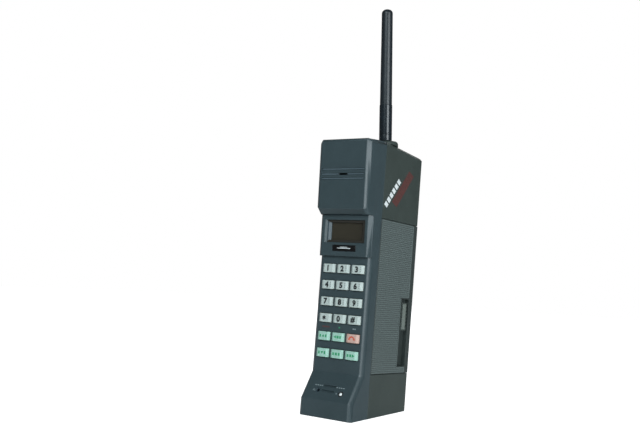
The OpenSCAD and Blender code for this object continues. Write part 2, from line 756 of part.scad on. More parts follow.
module antenna_stud() color([0.8, 0.68, 0.4]) place() on_antenna() {
  translate([0, 0, -stud_h]) cylinder(d = stud_d, h = stud_h + eps);
  cylinder(d = stud_d + 1.4, h = 5);
}

module antenna_core() color([0.7, 0.7, 0.68]) place() on_antenna()
  translate([0, 0, 5]) cylinder(d = 2, h = antenna_h - 10);

module antenna_sleeve() color([0.1, 0.13, 0.15]) place() on_antenna() difference() {
  union() {
    cylinder(d = antenna_d, h = sleeve_h);
    translate([0, 0, 4.6]) cylinder(d = antenna_d + 0.3, h = 0.8);
  }
  translate([0, 0, -1]) cylinder(d = stud_d + 1.5, h = 6);
  translate([0, 0, 4]) cylinder(d = 2.1, h = sleeve_h);
}

module antenna_sheath() color([0.12, 0.15, 0.17]) place() on_antenna() difference() {
  rotate_extrude() polygon(concat(
    [[0, sleeve_h], [antenna_d / 2 - 0.25, sleeve_h]],
    arc([antenna_tip_d / 2 - 3, antenna_h - 3], 3, 0, 90),
    [[0, antenna_h]]
  ));
  translate([0, 0, sleeve_h - 1]) cylinder(d = 2.1, h = antenna_h - 4.9 - sleeve_h + 1);
}

front_shell();
rear_shell();
display_window();
display_bezel();
name_plate();
display_module();
keypad_mat();
keypad_board();
chassis();
logic_board();
logic_chips();
rf_board();
rf_shield();
board_connector();
duplexer();
power_amplifier();
earpiece_speaker();
earpiece_gasket();
microphone();
microphone_boot();
jack_socket();
indicator_lamp();
buzzer();
antenna_turret();
antenna_socket();
antenna_lead();
contact_block();
spring_contacts();
case_screws();
accessory_connector();
battery_case();
battery_cover();
battery_cells();
cell_straps();
battery_terminals();
latch_spring();
latch_slider();
antenna_seal();
antenna_stud();
antenna_core();
antenna_sleeve();
antenna_sheath();
key_1();
key_2();
key_3();
key_4();
key_5();
key_6();
key_7();
key_8();
key_9();
key_star();
key_0();
key_hash();
key_recall();
key_clear();
key_end();
key_store();
key_function();
key_send();
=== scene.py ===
"""Looks of an early mobile brick phone: its mouldings, keys, display, battery pack and antenna.

Shapes are worked out in millimetres, in the handset's own axes: X across, Y from the keypad face
to the back, Z up the keypad face. A Place turns them into metres in the row frame.
"""

import sys

import json
import logging
import math
from collections.abc import Callable
from dataclasses import dataclass, field
from enum import Enum

import bmesh
import bpy
import numpy as np
from mathutils import Matrix, Vector

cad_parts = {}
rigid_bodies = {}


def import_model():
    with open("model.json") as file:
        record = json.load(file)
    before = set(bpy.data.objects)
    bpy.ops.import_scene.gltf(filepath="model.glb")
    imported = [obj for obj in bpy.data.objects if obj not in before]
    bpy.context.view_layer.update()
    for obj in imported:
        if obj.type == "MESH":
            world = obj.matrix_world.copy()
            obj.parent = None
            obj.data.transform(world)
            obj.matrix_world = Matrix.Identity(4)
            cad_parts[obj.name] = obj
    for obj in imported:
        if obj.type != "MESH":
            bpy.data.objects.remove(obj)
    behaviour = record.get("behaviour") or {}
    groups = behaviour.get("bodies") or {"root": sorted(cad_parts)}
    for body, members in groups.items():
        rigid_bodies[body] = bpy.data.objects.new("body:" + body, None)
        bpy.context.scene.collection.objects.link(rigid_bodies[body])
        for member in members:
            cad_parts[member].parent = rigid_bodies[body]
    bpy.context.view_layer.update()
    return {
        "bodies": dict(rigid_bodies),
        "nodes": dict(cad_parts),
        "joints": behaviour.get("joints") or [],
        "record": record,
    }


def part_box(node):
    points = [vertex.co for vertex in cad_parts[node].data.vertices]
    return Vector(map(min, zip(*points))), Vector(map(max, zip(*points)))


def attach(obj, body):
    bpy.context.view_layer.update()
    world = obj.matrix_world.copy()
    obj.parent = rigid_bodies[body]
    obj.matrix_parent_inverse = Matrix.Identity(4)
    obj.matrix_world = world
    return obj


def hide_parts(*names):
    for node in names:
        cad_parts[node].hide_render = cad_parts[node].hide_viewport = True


MM = 0.001
SLIVER = 0.32
log = logging.getLogger("brick_phone")


# ---- Places ---------------------------------------------------------------


@dataclass(frozen=True)
class Stance:
    """How the leaning handset stands over the origin of the row frame."""

    lean: float
    back: float
    down: float

    @classmethod
    def from_frame(cls, frame: dict, low_y: float, back_y: float, low_z: float) -> "Stance":
        """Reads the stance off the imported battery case, a block that is square to the handset.

        Args:
            low_y: front of the battery case in body axes, in mm.
            back_y: its back.
            low_z: its foot.

        Returns:
            The stance, with the lean in radians and the shifts in mm.
        """
        slide = next(j for j in frame["joints"] if j["name"] == "battery_slide")
        lean = math.asin(-slide["axis"][2])
        low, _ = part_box("battery_case")
        back = low_y * math.cos(lean) + low_z * math.sin(lean) - low.y / MM
        down = low_z * math.cos(lean) - back_y * math.sin(lean) - low.z / MM
        return cls(lean, back, down)

    def row(self, points: np.ndarray) -> np.ndarray:
        """Body axes in mm to the row frame in metres: a turn about X by the lean, then the shifts."""
        x, y, z = np.moveaxis(points, -1, 0)
        c, s = math.cos(self.lean), math.sin(self.lean)
        return np.stack([x, y * c + z * s - self.back, z * c - y * s - self.down], -1) * MM

    def body(self, points: np.ndarray) -> np.ndarray:
        """The row frame in metres back to body axes in mm: the same shifts and turn, undone."""
        x, y, z = np.moveaxis(points / MM, -1, 0)
        y, z = y + self.back, z + self.down
        c, s = math.cos(self.lean), math.sin(self.lean)
        return np.stack([x, y * c - z * s, z * c + y * s], -1)


@dataclass(frozen=True)
class Place:
    """A local frame on the handset, in body axes: local X runs across, Y inwards and Z up."""

    stance: Stance
    origin: tuple = (0.0, 0.0, 0.0)
    across: tuple = (1.0, 0.0, 0.0)
    inward: tuple = (0.0, 1.0, 0.0)
    up: tuple = (0.0, 0.0, 1.0)

    def row(self, points: np.ndarray) -> np.ndarray:
        """Local mm to metres in the row frame."""
        axes = np.array([self.across, self.inward, self.up], float)
        return self.stance.row(points @ axes + np.array(self.origin, float))

    def moved(self, x: float, y: float, z: float) -> "Place":
        """The same frame, shifted by local x, y and z in mm."""
        axes = np.array([self.across, self.inward, self.up], float)
        origin = np.array(self.origin, float) + np.array([x, y, z], float) @ axes
        return Place(self.stance, tuple(origin), self.across, self.inward, self.up)

    @classmethod
    def on_face(cls, stance: Stance, low: tuple, high: tuple) -> "Place":
        """The frame of a sloping front face that runs from low to high, both [y, z]."""
        dy, dz = high[0] - low[0], high[1] - low[1]
        length = math.hypot(dy, dz)
        return cls(stance, (0.0, low[0], low[1]), inward=(0.0, dz / length, -dy / length),
                   up=(0.0, dy / length, dz / length))


# ---- Surfaces -------------------------------------------------------------


@dataclass
class Surface:
    """Points and faces of a mesh, before it is placed."""

    points: np.ndarray
    faces: list

    @classmethod
    def grid(cls, grid: np.ndarray, around: bool = False, capped: bool = False) -> "Surface":
        """Joins a grid of points with quads.

        Args:
            grid: points as [row, column, 3].
            around: whether the last column joins the first.
            capped: whether the first and last rows are filled with one face each.

        Returns:
            The surface, in row order.
        """
        rows, columns = grid.shape[:2]
        index = np.arange(rows * columns).reshape(rows, columns)
        if around:
            index = np.concatenate([index, index[:, :1]], 1)
        quads = np.stack([index[:-1, :-1], index[:-1, 1:], index[1:, 1:], index[1:, :-1]], -1)
        faces = quads.reshape(-1, 4).tolist()
        if capped:
            faces += [index[0, :columns][::-1].tolist(), index[-1, :columns].tolist()]
        return cls(grid.reshape(-1, 3), faces)

    def __add__(self, other: "Surface") -> "Surface":
        """Both surfaces as one."""
        shift = len(self.points)
        moved = [[i + shift for i in face] for face in other.faces]
        return Surface(np.concatenate([self.points, other.points]), self.faces + moved)

    @classmethod
    def joined(cls, surfaces: list) -> "Surface":
        """Several surfaces as one."""
        total = surfaces[0]
        for surface in surfaces[1:]:
            total = total + surface
        return total

    def turned(self, order: tuple) -> "Surface":
        """The surface with its axes in another order."""
        return Surface(self.points[:, list(order)], self.faces)

    def moved(self, x: float, y: float, z: float) -> "Surface":
        """The surface shifted by x, y and z."""
        return Surface(self.points + np.array([x, y, z], float), self.faces)


def fillet(corners: list, cut: float | list, steps: int = 4) -> np.ndarray:
    """Rounds the corners of a closed outline.

    Each corner becomes the quadratic curve that leaves one side a given distance before the corner
    and joins the next side the same distance after it, with the corner as its control point.

    Args:
        corners: the outline's corners, anticlockwise, as [a, b].
        cut: that distance, one for all corners or one each.
        steps: spans of each curve.

    Returns:
        The outline's points as [n, 2].
    """
    c = np.array(corners, float)
    cut = np.broadcast_to(np.array(cut, float), len(c))[:, None]
    before, after = np.roll(c, 1, 0) - c, np.roll(c, -1, 0) - c
    start = c + cut * before / np.linalg.norm(before, axis=1, keepdims=True)
    end = c + cut * after / np.linalg.norm(after, axis=1, keepdims=True)
    s = np.linspace(0, 1, steps + 1)[None, :, None]
    curve = (1 - s) ** 2 * start[:, None] + 2 * s * (1 - s) * c[:, None] + s ** 2 * end[:, None]
    return curve.reshape(-1, 2)


def outward(outline: np.ndarray) -> np.ndarray:
    """Outward normals of an anticlockwise outline: each point's mean tangent, turned right."""
    ahead = np.roll(outline, -1, 0) - outline
    behind = outline - np.roll(outline, 1, 0)
    tangent = ahead / (np.linalg.norm(ahead, axis=1, keepdims=True) + 1e-9)
    tangent += behind / (np.linalg.norm(behind, axis=1, keepdims=True) + 1e-9)
    tangent /= np.linalg.norm(tangent, axis=1, keepdims=True) + 1e-9
    return np.stack([tangent[:, 1], -tangent[:, 0]], -1)


def prism(outline: np.ndarray, low: float, high: float, low_edge: float = 0.0, high_edge: float = 0.0,
          steps: int = 3) -> Surface:
    """Extrudes an outline and rounds its end edges.

    Near a rounded end the outline draws in by r(1 - sin t) as the height nears the end by
    r(1 - cos t), for t over a quarter turn: the edge is a quarter circle of radius r.

    Args:
        outline: anticlockwise points as [n, 2].
        low: height of the first end.
        high: height of the last end.
        low_edge: radius of the edge at the first end.
        high_edge: radius of the edge at the last end.
        steps: spans of each rounded edge.

    Returns:
        A closed surface, as outline's two axes and then the height.
    """
    t = np.linspace(0, math.pi / 2, steps + 1)
    inset, height = [], []
    if low_edge > 0:
        inset += list(low_edge * (1 - np.sin(t)))
        height += list(low + low_edge * (1 - np.cos(t)))
    else:
        inset, height = [0.0], [low]
    if high_edge > 0:
        inset += list(high_edge * (1 - np.cos(t)))
        height += list(high - high_edge * (1 - np.sin(t)))
    else:
        inset, height = inset + [0.0], height + [high]
    inset, height = np.array(inset), np.array(height)
    rings = outline[None] - inset[:, None, None] * outward(outline)[None]
    levels = np.broadcast_to(height[:, None, None], rings.shape[:2] + (1,))
    return Surface.grid(np.concatenate([rings, levels], -1), around=True, capped=True)


def lathe(profile: np.ndarray, segments: int = 56) -> Surface:
    """Turns a profile about Z: x is r cos t, y is r sin t, for t over a whole turn.

    Args:
        profile: radius and height of each point, from one pole to the other, as [n, 2].
        segments: columns round the axis.

    Returns:
        A closed surface, once the doubles at its poles are merged.
    """
    t = np.linspace(0, 2 * math.pi, segments, endpoint=False)
    r, z = profile[:, :1], profile[:, 1:]
    grid = np.stack([r * np.cos(t), r * np.sin(t), np.broadcast_to(z, (len(z), segments))], -1)
    return Surface.grid(grid, around=True)


def smoothstep(low: float, high: float, value: np.ndarray) -> np.ndarray:
    """0 below low, 1 above high, and the cubic 3t^2 - 2t^3 between them."""
    t = np.clip((value - low) / (high - low), 0, 1)
    return t * t * (3 - 2 * t)


# ---- Finishes -------------------------------------------------------------


def linear(colour: str) -> tuple:
    """An sRGB hex colour as linear red, green, blue and alpha."""
    parts = [int(colour[i:i + 2], 16) / 255 for i in (0, 2, 4)]
    return tuple(p / 12.92 if p <= 0.04045 else ((p + 0.055) / 1.055) ** 2.4 for p in parts) + (1.0,)


def add_node(tree: bpy.types.NodeTree, kind: str, inputs: dict | None = None, **settings) -> bpy.types.Node:
    """Adds a node with its settings and inputs.

    Args:
        tree: the node tree.
        kind: the node's type.
        inputs: socket name or number, to a value or to the output socket that it is linked to.
        **settings: the node's own properties.

    Returns:
        The node.
    """
    node = tree.nodes.new(kind)
    for key, value in settings.items():
        setattr(node, key, value)
    for key, value in (inputs or {}).items():
        if isinstance(value, bpy.types.NodeSocket):
            tree.links.new(value, node.inputs[key])
        else:
            node.inputs[key].default_value = value
    return node


@dataclass(frozen=True)
class Shading:
    """A material's nodes while they are laid out: the tree, the shader and the object's coordinates."""

    tree: bpy.types.NodeTree
    shader: bpy.types.Node
    where: bpy.types.NodeSocket

    def feed(self, name: str, socket: bpy.types.NodeSocket) -> None:
        """Links an output to one of the shader's inputs."""
        self.tree.links.new(socket, self.shader.inputs[name])

    def noise(self, size: float, detail: float = 2.0, roughness: float = 0.5,
              where: bpy.types.NodeSocket | None = None) -> bpy.types.NodeSocket:
        """A noise with patches of about a size in mm."""
        return add_node(self.tree, "ShaderNodeTexNoise", {
            "Vector": where or self.where, "Scale": 1 / (size * MM), "Detail": detail,
            "Roughness": roughness}).outputs[0]

    def spread(self, value: bpy.types.NodeSocket, low: float, high: float, start: float = 0.0,
               end: float = 1.0) -> bpy.types.NodeSocket:
        """Maps a value between start and end on to low to high, and clamps it."""
        return add_node(self.tree, "ShaderNodeMapRange", {
            "Value": value, "From Min": start, "From Max": end, "To Min": low, "To Max": high}).outputs[0]

    def blend(self, share: bpy.types.NodeSocket, first: tuple | bpy.types.NodeSocket,
              second: tuple) -> bpy.types.NodeSocket:
        """Mixes two colours by the share of the second."""
        return add_node(self.tree, "ShaderNodeMix", {0: share, 6: first, 7: second},
                        data_type="RGBA").outputs[2]

    def attribute(self, name: str) -> bpy.types.NodeSocket:
        """A value that the mesh carries."""
        return add_node(self.tree, "ShaderNodeAttribute", attribute_name=name).outputs["Fac"]

    def emboss(self, height: bpy.types.NodeSocket, strength: float, depth: float) -> None:
        """Gives the shader the relief of a height, with its depth in mm."""
        relief = add_node(self.tree, "ShaderNodeBump", {
            "Height": height, "Strength": strength, "Distance": depth * MM})
        self.feed("Normal", relief.outputs[0])


@dataclass(frozen=True)
class Finish:
    """A surface finish: a smooth material, whose subclasses add the marks of how it was made."""

    name: str
    colour: str
    roughness: float = 0.5
    metallic: float = 0.0
    coat: float = 0.0
    glow: float = 0.0

    def build(self) -> bpy.types.Material:
        """Makes the material, or returns the one that was made before."""
        found = bpy.data.materials.get(self.name)
        if found:
            return found
        material = bpy.data.materials.new(self.name)
        material.use_nodes = True
        tree = material.node_tree
        tree.nodes.clear()
        shader = add_node(tree, "ShaderNodeBsdfPrincipled", {
            "Base Color": linear(self.colour), "Roughness": self.roughness,
            "Metallic": self.metallic, "Coat Weight": self.coat, "Coat Roughness": 0.12})
        if self.glow:
            shader.inputs["Emission Color"].default_value = linear(self.colour)
            shader.inputs["Emission Strength"].default_value = self.glow
        add_node(tree, "ShaderNodeOutputMaterial", {"Surface": shader.outputs[0]})
        where = add_node(tree, "ShaderNodeTexCoord").outputs["Object"]
        self.dress(Shading(tree, shader, where))
        return material

    def dress(self, on: Shading) -> None:
        """Adds the pattern, grain and wear; a plain finish has a faint unevenness of gloss."""
        on.feed("Roughness", on.spread(on.noise(6, 3.0), self.roughness * 0.85, self.roughness * 1.15))


@dataclass(frozen=True)
class Moulded(Finish):
    """Injection-moulded plastic from a spark-eroded tool: a fine matt grain and faint flow clouds."""

    shade: str = "303438"
    grain: float = 0.45
    depth: float = 0.03
    cloud: float = 22.0
    attribute: str = ""
    crest: str = ""

    def dress(self, on: Shading) -> None:
        """Clouds of a second colour, a grain in the gloss and relief, and a pale tint by an attribute: worn
        crests, painted shade and a painted highlight.
        """
        clouds = on.spread(on.noise(self.cloud, 4.0, 0.6), 0.0, 1.0, 0.35, 0.65)
        tint = on.blend(clouds, linear(self.colour), linear(self.shade))
        speck = on.noise(self.grain, 2.0, 0.7)
        flecked = add_node(on.tree, "ShaderNodeVectorMath", {
            0: tint, "Scale": on.spread(speck, 0.86, 1.14, 0.3, 0.7)}, operation="SCALE")
        colour = flecked.outputs[0]
        if self.attribute:
            # On the grip this tint is wear on the crests, painted shade in the dimples and a painted
            # highlight on the recess's lip
            colour = on.blend(on.attribute(self.attribute), colour, linear(self.crest))
        on.feed("Base Color", colour)
        on.feed("Roughness", on.spread(speck, self.roughness - 0.05, self.roughness + 0.07, 0.3, 0.7))
        on.emboss(speck, 0.35, self.depth)


@dataclass(frozen=True)
class KeyPlastic(Finish):
    """Pale two-shot key plastic: slightly translucent, satin, with soil in patches and darker at the root
    where fingers don't reach: soil and painted shade.
    """

    soil_and_shade: str = "7c837d"

    def dress(self, on: Shading) -> None:
        """Soil and painted shade by the root attribute, broken by a cloud of soil, and an eggshell relief of
        0.3 mm.
        """
        on.shader.inputs["Subsurface Weight"].default_value = 0.12
        on.shader.inputs["Subsurface Radius"].default_value = (0.8, 0.8, 0.7)
        on.shader.inputs["Subsurface Scale"].default_value = 0.6 * MM
        # The root attribute darkens the key where it sinks into the face: soil and painted shade; the cloud
        # adds patches of soil
        patch = on.spread(on.noise(2.2, 3.0), 0.0, 0.25)
        dirt_and_shade = add_node(on.tree, "ShaderNodeMath", {0: on.attribute("root"), 1: patch}, operation="ADD",
                        use_clamp=True)
        on.feed("Base Color", on.blend(dirt_and_shade.outputs[0], linear(self.colour), linear(self.soil_and_shade)))
        on.emboss(on.noise(0.3), 0.15, 0.02)


@dataclass(frozen=True)
class Ink(Finish):
    """Pad-printed ink: a thin satin film, a little patchy where the pad left less of it."""

    under: str = "404040"
    wear: float = 0.25

    def dress(self, on: Shading) -> None:
        """Lets the plastic beneath show through in patches of about half a millimetre."""
        thin = on.spread(on.noise(0.5, 3.0), 0.0, self.wear, 0.45, 0.75)
        on.feed("Base Color", on.blend(thin, linear(self.colour), linear(self.under)))


@dataclass(frozen=True)
class Drawn(Finish):
    """Drawn, turned or stamped metal: fine lines along one axis that streak its gloss."""

    streak: tuple = (1.0, 1.0, 12.0)

    def dress(self, on: Shading) -> None:
        """Noise of 2 mm, squeezed along one axis into lines, moves the roughness and the relief."""
        squeezed = add_node(on.tree, "ShaderNodeMapping", {"Vector": on.where, "Scale": self.streak})
        lines = on.noise(2, 3.0, where=squeezed.outputs[0])
        on.feed("Roughness", on.spread(lines, self.roughness * 0.7, self.roughness * 1.4))
        on.emboss(lines, 0.2, 0.02)


@dataclass(frozen=True)
class Board(Finish):
    """Glass-fibre circuit board under solder mask: a 0.8 mm cloth weave and paler copper patches."""

    copper: str = "2f6b3f"
    weft: str = "1b4a2c"

    def dress(self, on: Shading) -> None:
        """Voronoi cells of 3 mm stand for the pours of copper, and a checker for the weave."""
        pours = add_node(on.tree, "ShaderNodeTexVoronoi", {"Vector": on.where, "Scale": 1 / (3 * MM)},
                         distance="MANHATTAN")
        weave = add_node(on.tree, "ShaderNodeTexChecker", {
            "Vector": on.where, "Scale": 1 / (0.8 * MM), "Color1": linear(self.colour),
            "Color2": linear(self.weft)})
        step = add_node(on.tree, "ShaderNodeMath", {0: pours.outputs[0], 1: 0.5}, operation="GREATER_THAN")
        on.feed("Base Color", on.blend(step.outputs[0], weave.outputs[0], linear(self.copper)))


class Finishes(Enum):
    """Every finish on the phone, by the material and the process that it comes from."""

    # ABS from a spark-eroded tool: dark blue grey, matt, with a soft broad highlight
    FRONT = Moulded("moulded_abs_blue_grey", "3a484c", 0.37, shade="364448")
    # The same plastic, paler and smoother: where hands and cloths polish it, and as a painted highlight on
    # the window's left reveal
    FRONT_EDGE = Moulded("handled_abs_and_painted_highlight_blue_grey", "414f56", 0.34, shade="3c4a51")
    # Ribs in the earpiece grooves, paler than the face about them: a painted highlight for the grooves' lower
    # walls, lit from above
    RIBS = Moulded("painted_highlight_abs_blue_grey", "56646b", 0.4, shade="4d5b62")
    # The rear mouldings are a little greener
    REAR = Moulded("moulded_abs_green_grey", "3c4541", 0.46, shade="37403c")
    REAR_EDGE = Moulded("handled_abs_green_grey", "465049", 0.38, shade="404944")
    # Dimpled grip of the battery pack: its crests are rubbed pale, the dimples stay darker as painted shade,
    # and the recess's lip is a painted highlight
    GRIP = Moulded("moulded_abs_dimpled_grip", "343c3a", 0.5, shade="303836", attribute="crest",
                   crest="6b7674")
    # The latch's finger rib and other high spots, rubbed pale
    RUBBED = Moulded("rubbed_abs_green_grey", "788079", 0.42, shade="6e766f")
    # Glass-filled nylon of the connectors and the inner frame: near black or grey, waxy
    NYLON = Moulded("moulded_nylon_black", "1b1d1e", 0.42, shade="161818")
    CHASSIS = Moulded("moulded_nylon_grey", "b4b4b0", 0.5, shade="a8a8a4")
    KEY_WHITE = KeyPlastic("key_plastic_ivory", "c8d2cd", 0.36)
    KEY_MINT = KeyPlastic("key_plastic_mint", "b2dccb", 0.36, soil_and_shade="6d7d73")
    KEY_PINK = KeyPlastic("key_plastic_rose", "dfb8aa", 0.36, soil_and_shade="80706a")
    INK_BLACK = Ink("pad_print_black", "15181a", 0.4, under="3a3d3e", wear=0.15)
    INK_GREY = Ink("pad_print_grey", "8f9794", 0.45, under="c8cfca")
    INK_GREEN = Ink("pad_print_green", "2f9a66", 0.4, under="8cc7a8")
    INK_RED = Ink("pad_print_red", "d9583f", 0.4, under="e59a84")
    INK_WHITE = Ink("pad_print_white", "eef2f2", 0.4, under="b9c0bf")
    INK_PALE = Ink("pad_print_pale", "97a3a6", 0.45, under="5d6a70", wear=0.6)
    INK_DULL_RED = Ink("pad_print_dull_red", "6b302c", 0.5, under="433f3a", wear=1.0)
    # Smoked acrylic pane: brown black and glossy
    PANE = Finish("smoked_acrylic_pane", "39342a", 0.16, coat=0.2)
    # Brown black of the display's surround, and painted shade over the window's right reveal
    MASK = Finish("mask_and_painted_shade_brown_black", "302c25", 0.4)
    PLATE = Finish("lacquered_plate_black", "060607", 0.22, coat=0.2)
    LAMP = Finish("diffusing_acrylic_lamp", "f4f6f4", 0.25, glow=0.05)
    # Moulded rubber over the coil, satin; its lower sleeve is a glossier moulding
    SHEATH = Moulded("moulded_rubber_sheath", "1a2228", 0.36, shade="161d22", grain=0.3, depth=0.012, cloud=9)
    SLEEVE = Moulded("moulded_sleeve_glossy", "172027", 0.24, shade="141b21", grain=0.3, depth=0.006, cloud=9)
    RUBBER = Moulded("moulded_rubber_black", "121314", 0.6, shade="0e0f10", grain=0.3)
    SCREEN = Finish("liquid_crystal_glass", "9aa08c", 0.12)
    STEEL = Drawn("plated_steel", "b8b8b4", 0.3, 1.0)
    TIN = Drawn("tinned_sheet", "c4c4c0", 0.35, 1.0, streak=(12.0, 1.0, 1.0))
    BRASS = Drawn("turned_brass", "c8a867", 0.28, 1.0, streak=(1.0, 1.0, 20.0))
    GOLD = Drawn("gold_plated_contact", "d9b25c", 0.22, 1.0)
    BOARD = Board("solder_masked_board", "1d5232", 0.35)
    WRAP = Moulded("shrink_wrap_blue", "2c5486", 0.25, shade="274c7a", grain=0.6, depth=0.01)

    def material(self) -> bpy.types.Material:
        """The built material."""
        return self.value.build()


# ---- Pieces ---------------------------------------------------------------


def tidy_mesh(mesh: bpy.types.Mesh, flat: float | None = None, rim: float = 0.0) -> None:
    """Merges doubles, turns the faces outwards and, on request, joins coplanar faces.

    Args:
        mesh: a closed mesh, in metres.
        flat: largest angle in degrees between faces that are joined, or None.
        rim: distance from the middle plane in mm, beyond which slivers are merged too.
    """
    bm = bmesh.new()
    bm.from_mesh(mesh)
    bmesh.ops.remove_doubles(bm, verts=bm.verts, dist=0.001 * MM)
    if rim:
        outer = [v for v in bm.verts if abs(v.co.x) > rim * MM]
        bmesh.ops.remove_doubles(bm, verts=outer, dist=SLIVER * MM)
    if flat is not None:
        bmesh.ops.dissolve_limit(bm, angle_limit=math.radians(flat), verts=bm.verts, edges=bm.edges)
    bmesh.ops.recalc_face_normals(bm, faces=bm.faces)
    bm.to_mesh(mesh)
    bm.free()


def edge_widths(mesh: bpy.types.Mesh, stance: Stance, rule: Callable, sharp: float = 30.0) -> tuple:
    """Stores each sharp edge's rounding as a share of the widest one.

    Args:
        mesh: a merged mesh in the row frame.
        stance: the handset's stance.
        rule: gives each edge's width in mm from its two ends in body axes, as [edge, 2, 3], whether
            it is convex and its angle in degrees, or -1 where the shading only blends over it.
        sharp: smallest angle in degrees of an edge that is rounded.

    Returns:
        The widest rounding in mm, and which edges are blended.
    """
    bm = bmesh.new()
    bm.from_mesh(mesh)
    bm.edges.ensure_lookup_table()
    angle = np.degrees([e.calc_face_angle(0.0) for e in bm.edges])
    convex = np.array([e.is_convex for e in bm.edges])
    ends = np.array([[v.co for v in e.verts] for e in bm.edges], float)
    bm.free()
    widths = np.where(angle > sharp, rule(stance.body(ends), convex, angle), 0.0)
    weights = mesh.attributes.new("bevel_weight_edge", "FLOAT", "EDGE")
    weights.data.foreach_set("value", (np.maximum(widths, 0) / widths.max()).astype(np.float32))
    return float(widths.max()), widths < 0


def tuck(mesh: bpy.types.Mesh, stance: Stance, moves: tuple) -> None:
    """Moves single corners of a mesh, on both sides of the middle plane.

    Args:
        mesh: a merged mesh in the row frame.
        stance: the handset's stance.
        moves: each corner's old and new place on the right side, in body axes.
    """
    points = np.zeros(len(mesh.vertices) * 3)
    mesh.vertices.foreach_get("co", points)
    body = stance.body(points.reshape(-1, 3))
    side = np.where(body[:, :1] < 0, -1.0, 1.0)
    for old, new in moves:
        near = np.linalg.norm(np.abs(body) * [1, 0, 0] + body * [0, 1, 1] - old, axis=1) < 0.15
        body[near] = np.array(new) * np.concatenate([side[near], np.ones((near.sum(), 2))], 1)
    mesh.vertices.foreach_set("co", stance.row(body).reshape(-1))


def cut_off(mesh: bpy.types.Mesh, stance: Stance, point: np.ndarray, normal: np.ndarray) -> None:
    """Cuts off what lies beyond a plane and closes the cut.

    Args:
        mesh: a closed mesh in the row frame.
        stance: the handset's stance.
        point: a point of the plane, in body axes.
        normal: the plane's outward normal, in body axes.
    """
    here, beyond = stance.row(point), stance.row(point + normal)
    bm = bmesh.new()
    bm.from_mesh(mesh)
    cut = bmesh.ops.bisect_plane(bm, geom=bm.verts[:] + bm.edges[:] + bm.faces[:], dist=1e-7,
                                 plane_co=here, plane_no=beyond - here, clear_outer=True)
    rim = [e for e in cut["geom_cut"] if isinstance(e, bmesh.types.BMEdge)]
    bmesh.ops.edgeloop_fill(bm, edges=rim)
    bmesh.ops.recalc_face_normals(bm, faces=bm.faces)
    bm.to_mesh(mesh)
    bm.free()


@dataclass
class Piece:
    """One visible piece: its name, the body that it rides on, its finish and what it stands for."""

    name: str
    body: str
    slot: str
    finish: Finishes
    replaces: tuple = ()
    sharp: float = 32.0
    attributes: dict = field(default_factory=dict)
    cuts: tuple = ()
    tucks: tuple = ()
    rim: float = 0.0
    blend: np.ndarray | None = None

    def place(self, surface: Surface, place: Place) -> bpy.types.Object:
        """Makes the piece from a surface.

        Args:
            surface: its points in local mm.
            place: the frame that they are in.

        Returns:
            The finished object, riding on its body.
        """
        mesh = bpy.data.meshes.new(self.name)
        mesh.from_pydata(place.row(surface.points), [], surface.faces)
        for name, values in self.attributes.items():
            attribute = mesh.attributes.new(name, "FLOAT", "POINT")
            attribute.data.foreach_set("value", np.asarray(values, np.float32))
        tidy_mesh(mesh)
        obj = bpy.data.objects.new(self.name, mesh)
        bpy.context.scene.collection.objects.link(obj)
        obj.data.materials.append(self.finish.material())
        return self._finish(obj)

    def soften(self, node: bpy.types.Object, width: float | Callable, edge: Finishes | None = None,
               segments: int = 2, stance: Stance | None = None) -> bpy.types.Object:
        """Makes the piece from a merged copy of a CAD node, with its edges rounded.

        Args:
            node: the CAD node.
            width: width of the rounded edges in mm, or a rule that edge_widths() takes.
            edge: the finish of the rounded edges, where it differs.
            segments: spans of each rounded edge.
            stance: the handset's stance, which a rule needs.

        Returns:
            The finished object, riding on its body.
        """
        mesh = node.data.copy()
        mesh.name = self.name
        mesh.materials.clear()
        tidy_mesh(mesh, flat=0.4, rim=self.rim)
        if self.tucks:
            tuck(mesh, stance, self.tucks)
            tidy_mesh(mesh, flat=0.4)
        for point, normal in self.cuts:
            cut_off(mesh, stance, point, normal)
        obj = bpy.data.objects.new(self.name, mesh)
        bpy.context.scene.collection.objects.link(obj)
        obj.data.materials.append(self.finish.material())
        if edge:
            obj.data.materials.append(edge.material())
        bevel = obj.modifiers.new("rounded_edges", "BEVEL")
        bevel.segments = segments
        if callable(width):
            widest, self.blend = edge_widths(mesh, stance, width)
            bevel.width = widest * MM
            bevel.limit_method = "WEIGHT"
        else:
            bevel.width = width * MM
            bevel.limit_method = "ANGLE"
            bevel.angle_limit = math.radians(30)
        bevel.use_clamp_overlap = False
        bevel.material = 1 if edge else -1
        self.replaces = (node.name,)
        return self._finish(obj)

    def _finish(self, obj: bpy.types.Object) -> bpy.types.Object:
        """Smooths the shading up to the sharp angle and tells the frame about the piece."""
        mesh = obj.data
        mesh.polygons.foreach_set("use_smooth", np.ones(len(mesh.polygons), bool))
        mesh.set_sharp_from_angle(angle=math.radians(self.sharp))
        weights = obj.modifiers.new("flat_faces_stay_flat", "WEIGHTED_NORMAL")
        weights.keep_sharp = True
        if self.blend is not None:
            weights.weight = 100
            sharp = np.zeros(len(mesh.edges), bool)
            mesh.edges.foreach_get("use_edge_sharp", sharp)
            mesh.edges.foreach_set("use_edge_sharp", sharp & ~self.blend)
        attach(obj, self.body)
        if self.replaces:
            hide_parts(*self.replaces)
        log.info("%s: %d faces, rides on %s", self.name, len(mesh.polygons), self.body)
        return obj


def ink_film(outlines: list, lift: float = 0.03) -> Surface:
    """Thin closed films over flat outlines, each drawn as [x, z] on a face whose Y runs inwards.

    Args:
        outlines: closed outlines.
        lift: how far a film stands out of the face, in mm.

    Returns:
        All films as one surface in local axes.
    """
    return Surface.joined([prism(np.array(outline, float), -lift, 0.02).turned((0, 2, 1))
                           for outline in outlines])


